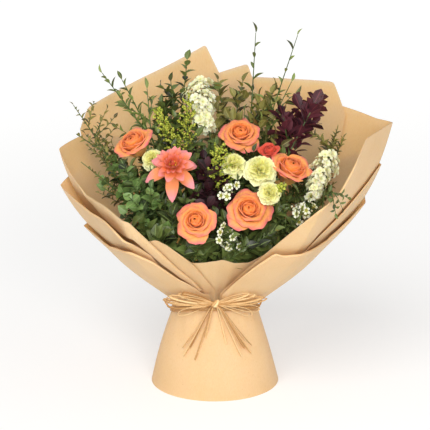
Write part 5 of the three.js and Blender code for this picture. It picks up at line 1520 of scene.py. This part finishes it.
lemon_looks = dict(roughness=0.65, specular=0.2, sheen=0.1, subsurface=0.08, glow=0.003)
lemon = ("#F0EB8E", "#F5F1AA", "#CFCF62", "#FAF7C4")
carnation_finish = petal_finish("lemon_carnation_petal", lemon_looks, lemon, 0.2, 0.86)
for seed, (name, bloom) in enumerate(blooms.items()):
    if not name.startswith("carnation"):
        continue
    head, way, radius = bloom["head"], bloom["way"], bloom["radius"]
    placing = stood(bloom["foot"], way, seed)
    made = carnation_petals(placing, radius * 1.1, np.random.default_rng(seed + 60))
    petals = new_piece(name + "_petals", *made[:3], carnation_finish, made[3])
    parts = [petals] + calyx(name, placing, radius * 0.22, 9, leaf_finishes["fresh"])
    dress_bloom(name, parts, head, way, radius)

# %% [markdown]
# ## Stocks
# A stock carries its flowers all round an upright spike: open, ruffled florets low down, and tight green
# buds at the tip. Each floret is one pattern of eight crinkled petals, cream with a green-yellow foot,
# which light shines through.

# %% Stock florets


def rosette(petals, rows, columns, bend, outline, spread, lift, crimp):
    """A pattern: petals of length 1 in a ring, with every second one raised."""
    made = []
    for k in range(petals):
        raised = k % 2
        grid = blade(outline, 1.0 - 0.25 * raised, spread, rows, columns, bend, 0.1)
        grid[..., 2] += crimp * np.sin(grid[..., 0] * 17 + k) * grid[..., 1] ** 2
        tilt = Matrix.Rotation(k * 2 * math.pi / petals, 3, "Z")
        tilt = tilt @ Matrix.Rotation(lift + 0.5 * raised, 3, "X")
        points, faces, uv = closed_sheet(grid, 0.03)
        made.append((points @ np.array(tilt).T + [0, 0, 0.05 * raised], faces, uv, 0.5))
    return stacked(made)[:3]


floret = rosette(8, 4, 4, 0.22, [0.2, 0.6, 0.95, 0.7], 0.8, 0.2, 0.12)
floret_pattern = new_pattern("stock_floret", *floret)
bud_shape = lathed([(0, -0.5), (0.36, -0.3), (0.5, 0), (0.3, 0.34), (0, 0.5)], sides=6)
bud_pattern = new_pattern("small_bud", *bud_shape)
cream_looks = dict(roughness=0.6, specular=0.25, sheen=0.1, subsurface=0.2, glow=0.004)
cream = ("#F3ECB2", "#F8F2C8", "#D6D380", "#FBF7DA")
stock_finish = petal_finish("cream_stock_petal", cream_looks, cream, 0.08, 0.7)
florets_on_spike, floret_size = 46, 10.5
fullness = ([0, 0.35, 0.7, 0.9, 1], [0.4, 0.55, 1.0, 0.85, 0.45])
for seed, (name, plant) in enumerate(spikes.items()):
    draw = np.random.default_rng(seed + 80)
    root, tip = np.array(plant["root"], float), np.array(plant["tip"], float)
    axis = (tip - root) / np.linalg.norm(tip - root)
    root = root - [6, 0, 0] if name == "stock_top" else root
    florets, buds = Places(), Places()
    for k in range(florets_on_spike):
        t = 0.02 + 0.96 * k / (florets_on_spike - 1)
        side = square_to(axis, k * golden_angle)
        if name == "stock_right" and draw.uniform(0, 0.5) > t:
            continue
        out = plant["spread"] * np.interp(t, *fullness) * draw.uniform(0.6, 1.25)
        way = side + axis * (0.1 + 0.7 * t) + draw.uniform(-0.4, 0.4, 3)
        centre = root + (tip - root) * t + side * out
        size = floret_size * (1 - 0.3 * t**2) * draw.uniform(0.75, 1.2)
        florets.add(centre, stood((0, 0, 0), way)[0][:, 1], way, size, draw.uniform(0, 1))
    for k in range(9):
        side = square_to(axis, k * golden_angle)
        centre = tip + axis * (k * 0.9 - 4) + side * (4.2 - 0.4 * k)
        buds.add(centre, axis + side * 0.3, side, (3.2, 3.2, 5), draw.uniform(0, 1))
    parts = [
        florets.grow(name + "_florets", floret_pattern, stock_finish),
        buds.grow(name + "_buds", bud_pattern, leaf_finishes["fresh"]),
        swept(name + "_axis", [([root, tip + axis * 2], (2.2, 1.2))], stem_finish, 7, 1.0, 6),
    ]
    dress_bloom(name, parts, root, axis, 18, 7)

# %% [markdown]
# ## Goldenrod
# Goldenrod ends in arching twigs, each lined with tiny yellow-green buds. The buds are copies of one small
# turned shape, because there are about 1,680 of them. They are dull and downy, and each has its own tone
# between green and gold, which makes the plume look soft.

# %% Goldenrod
gold_finish, tree, shader = new_finish("goldenrod_bud", 0.7, 0.2, subsurface=0.1, glow=0.002)
tone = add_node(tree, "ShaderNodeAttribute", attribute_name="tone").outputs["Fac"]
stops = [(0.0, "#7F8E34"), (1.0, "#D2D45E"), (0.5, "#A9B040")]
feed(tree, shader, {"Base Color": add_node(tree, "ShaderNodeValToRGB", {"Fac": tone}, stops)})
twigs_on_branch, buds_on_twig = 30, 14
for seed, (name, plant) in enumerate(plumes.items()):
    draw = np.random.default_rng(seed + 90)
    line, buds, leaves = lines[name], Places(), Places()
    paths = [(line, (2.1, 1.5))]
    for tip, reach, low in plant["tips"]:
        branch = bent_line(along(line, low)[0], tip, 0)
        paths.append((branch, (1.3, 0.5)))
        leaves_on(leaves, branch, 12, "small", draw, 0.05)
        for k in range(twigs_on_branch):
            t = 0.1 + 0.88 * k / (twigs_on_branch - 1)
            t = t if low == 1 else 0.72 + 0.28 * t
            point, way = along(branch, t)
            side = square_to(way, k * golden_angle)
            out = reach * (1 - 0.6 * t) * draw.uniform(0.75, 1.1)
            end = point + side * out * 0.85 + way * out * 0.75
            twig = bent_line(point, end, out * 0.12, 5)
            paths.append((twig, (0.5, 0.25)))
            for b in range(buds_on_twig):
                spot, spot_way = along(twig, 0.2 + 0.8 * b / (buds_on_twig - 1))
                jitter = draw.uniform(-1, 1, 3)
                centre = spot + jitter * 1.5 + [0, 0, 0.6]
                way_up, face = spot_way + jitter, jitter + [0, -1, 1]
                buds.add(centre, way_up, face, draw.uniform(2.1, 3.4), draw.uniform(0, 1))
    leaves_on(leaves, line[line[:, 2] > 175], 14, "small", draw, 0.1)
    parts = [
        buds.grow(name + "_buds", bud_pattern, gold_finish),
        leaves.grow(name + "_leaves", leaf_patterns["narrow"], leaf_finishes["olive"]),
        swept(name + "_twigs", paths, stem_finish, 5, 1.0, 6),
    ]
    dressed[name] = joined(name + "_plume", parts)
    print(name, len(buds.points), "buds")

# %% [markdown]
# ## Waxflower
# Waxflowers are about 11 mm across: five round waxy petals about a dark, shiny green cup. They stand on
# thin stalks among needle leaves, with round buds between them. The wax gives each petal a small, clear
# highlight.

# %% Waxflower
petal_ring = []
for k in range(5):
    grid = blade([0.3, 0.85, 1.05, 1.0, 0.5], 0.62, 0.66, 5, 4, 0.1, 0.12)
    tilt = Matrix.Rotation(k * 2 * math.pi / 5, 3, "Z") @ Matrix.Rotation(0.32, 3, "X")
    points, faces, uv = closed_sheet(grid + [0, 0.34, 0], 0.04)
    petal_ring.append((points @ np.array(tilt).T, faces, uv, 0.5))
wax_pattern = new_pattern("waxflower_petals", *stacked(petal_ring)[:3])
cup = lathed([(0, -0.75), (0.16, -0.7), (0.34, -0.1), (0.4, 0.12), (0.26, 0.1), (0, -0.02)], sides=8)
cup_pattern = new_pattern("waxflower_cup", *cup)
wax_looks = dict(roughness=0.4, specular=0.4, subsurface=0.15, glow=0.003)
wax = ("#F2EDC8", "#F6F2D6", "#D9D68C", "#FAF7E4")
wax_finish = petal_finish("waxy_cream_petal", wax_looks, wax, 0.05, 0.8)
cup_finish, tree, shader = new_finish("waxflower_cup", 0.35, 0.5)
tone = add_node(tree, "ShaderNodeAttribute", attribute_name="tone").outputs["Fac"]
cup_tint = add_node(tree, "ShaderNodeValToRGB", {"Fac": tone}, [(0.0, "#6E7A2C"), (1.0, "#A8A23E")])
feed(tree, shader, {"Base Color": cup_tint})
wax_size, extra_buds = 6.1, 8
for seed, (name, plant) in enumerate(wax_sprays.items()):
    draw = np.random.default_rng(seed + 120)
    florets, cups, buds, needles = Places(), Places(), Places(), Places()
    line = lines[name]
    stem = bent_line(plant["root"], plant["tips"][0], 2)
    paths = [(line, (2.1, 1.2)), (stem, (1.1, 0.6))]
    for k in range(plant["count"] + extra_buds):
        t = 0.35 + 0.65 * (k % plant["count"]) / (plant["count"] - 1)
        point, way = along(stem, t)
        side = square_to(way, k * golden_angle + seed)
        reach = plant["reach"] * draw.uniform(0.2, 1.2)
        end = point + side * reach * 0.85 + way * reach * 0.5
        face = side + np.array([draw.uniform(-0.3, 0.3), -0.9, 0.4])
        if not has_room(end, 2):
            continue
        paths.append((bent_line(point, end - face, 1, 4), (0.45, 0.35)))
        if k < plant["count"]:
            turn_way = stood((0, 0, 0), face, k)[0][:, 1]
            florets.add(end, turn_way, face, wax_size * draw.uniform(0.85, 1.1), draw.uniform(0, 1))
            cups.add(end, turn_way, face, wax_size, draw.uniform(0, 1))
        else:
            buds.add(end, side, face, draw.uniform(3.0, 4.2), draw.uniform(0, 1))
    leaves_on(needles, stem, 14, "needle", draw, 0.05)
    leaves_on(needles, line[line[:, 2] > 170], 16, "needle", draw, 0.1)
    parts = [
        florets.grow(name + "_petals", wax_pattern, wax_finish),
        cups.grow(name + "_cups", cup_pattern, cup_finish),
        buds.grow(name + "_buds", bud_pattern, wax_finish),
        needles.grow(name + "_needles", leaf_patterns["needle"], leaf_finishes["fresh"]),
        swept(name + "_twigs", paths, stem_finish, 5, 1.0, 6),
    ]
    dressed[name] = joined(name + "_spray", parts)
    print(name, len(florets.points), "florets")

# %% [markdown]
# ## Handing the pieces over
# Every piece stands for one imported solid, which it hides, and rides with the bouquet's only body. The
# record's material slots list the solids, and show which are still plain. The patterns have done their work
# and go.

# %% Ride and replace
for pattern in patterns:
    bpy.data.objects.remove(pattern)
slots = {part["node"]: part["material_slot"] for part in frame["record"]["subparts"]}
for node, piece in dressed.items():
    piece.data.name = piece.name
    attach(piece, "root")
    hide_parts(node)
missing = sorted(set(slots) - set(dressed))
faces = sum(len(piece.data.polygons) for piece in dressed.values())
print(len(dressed), "pieces,", faces, "faces; still plain:", missing)
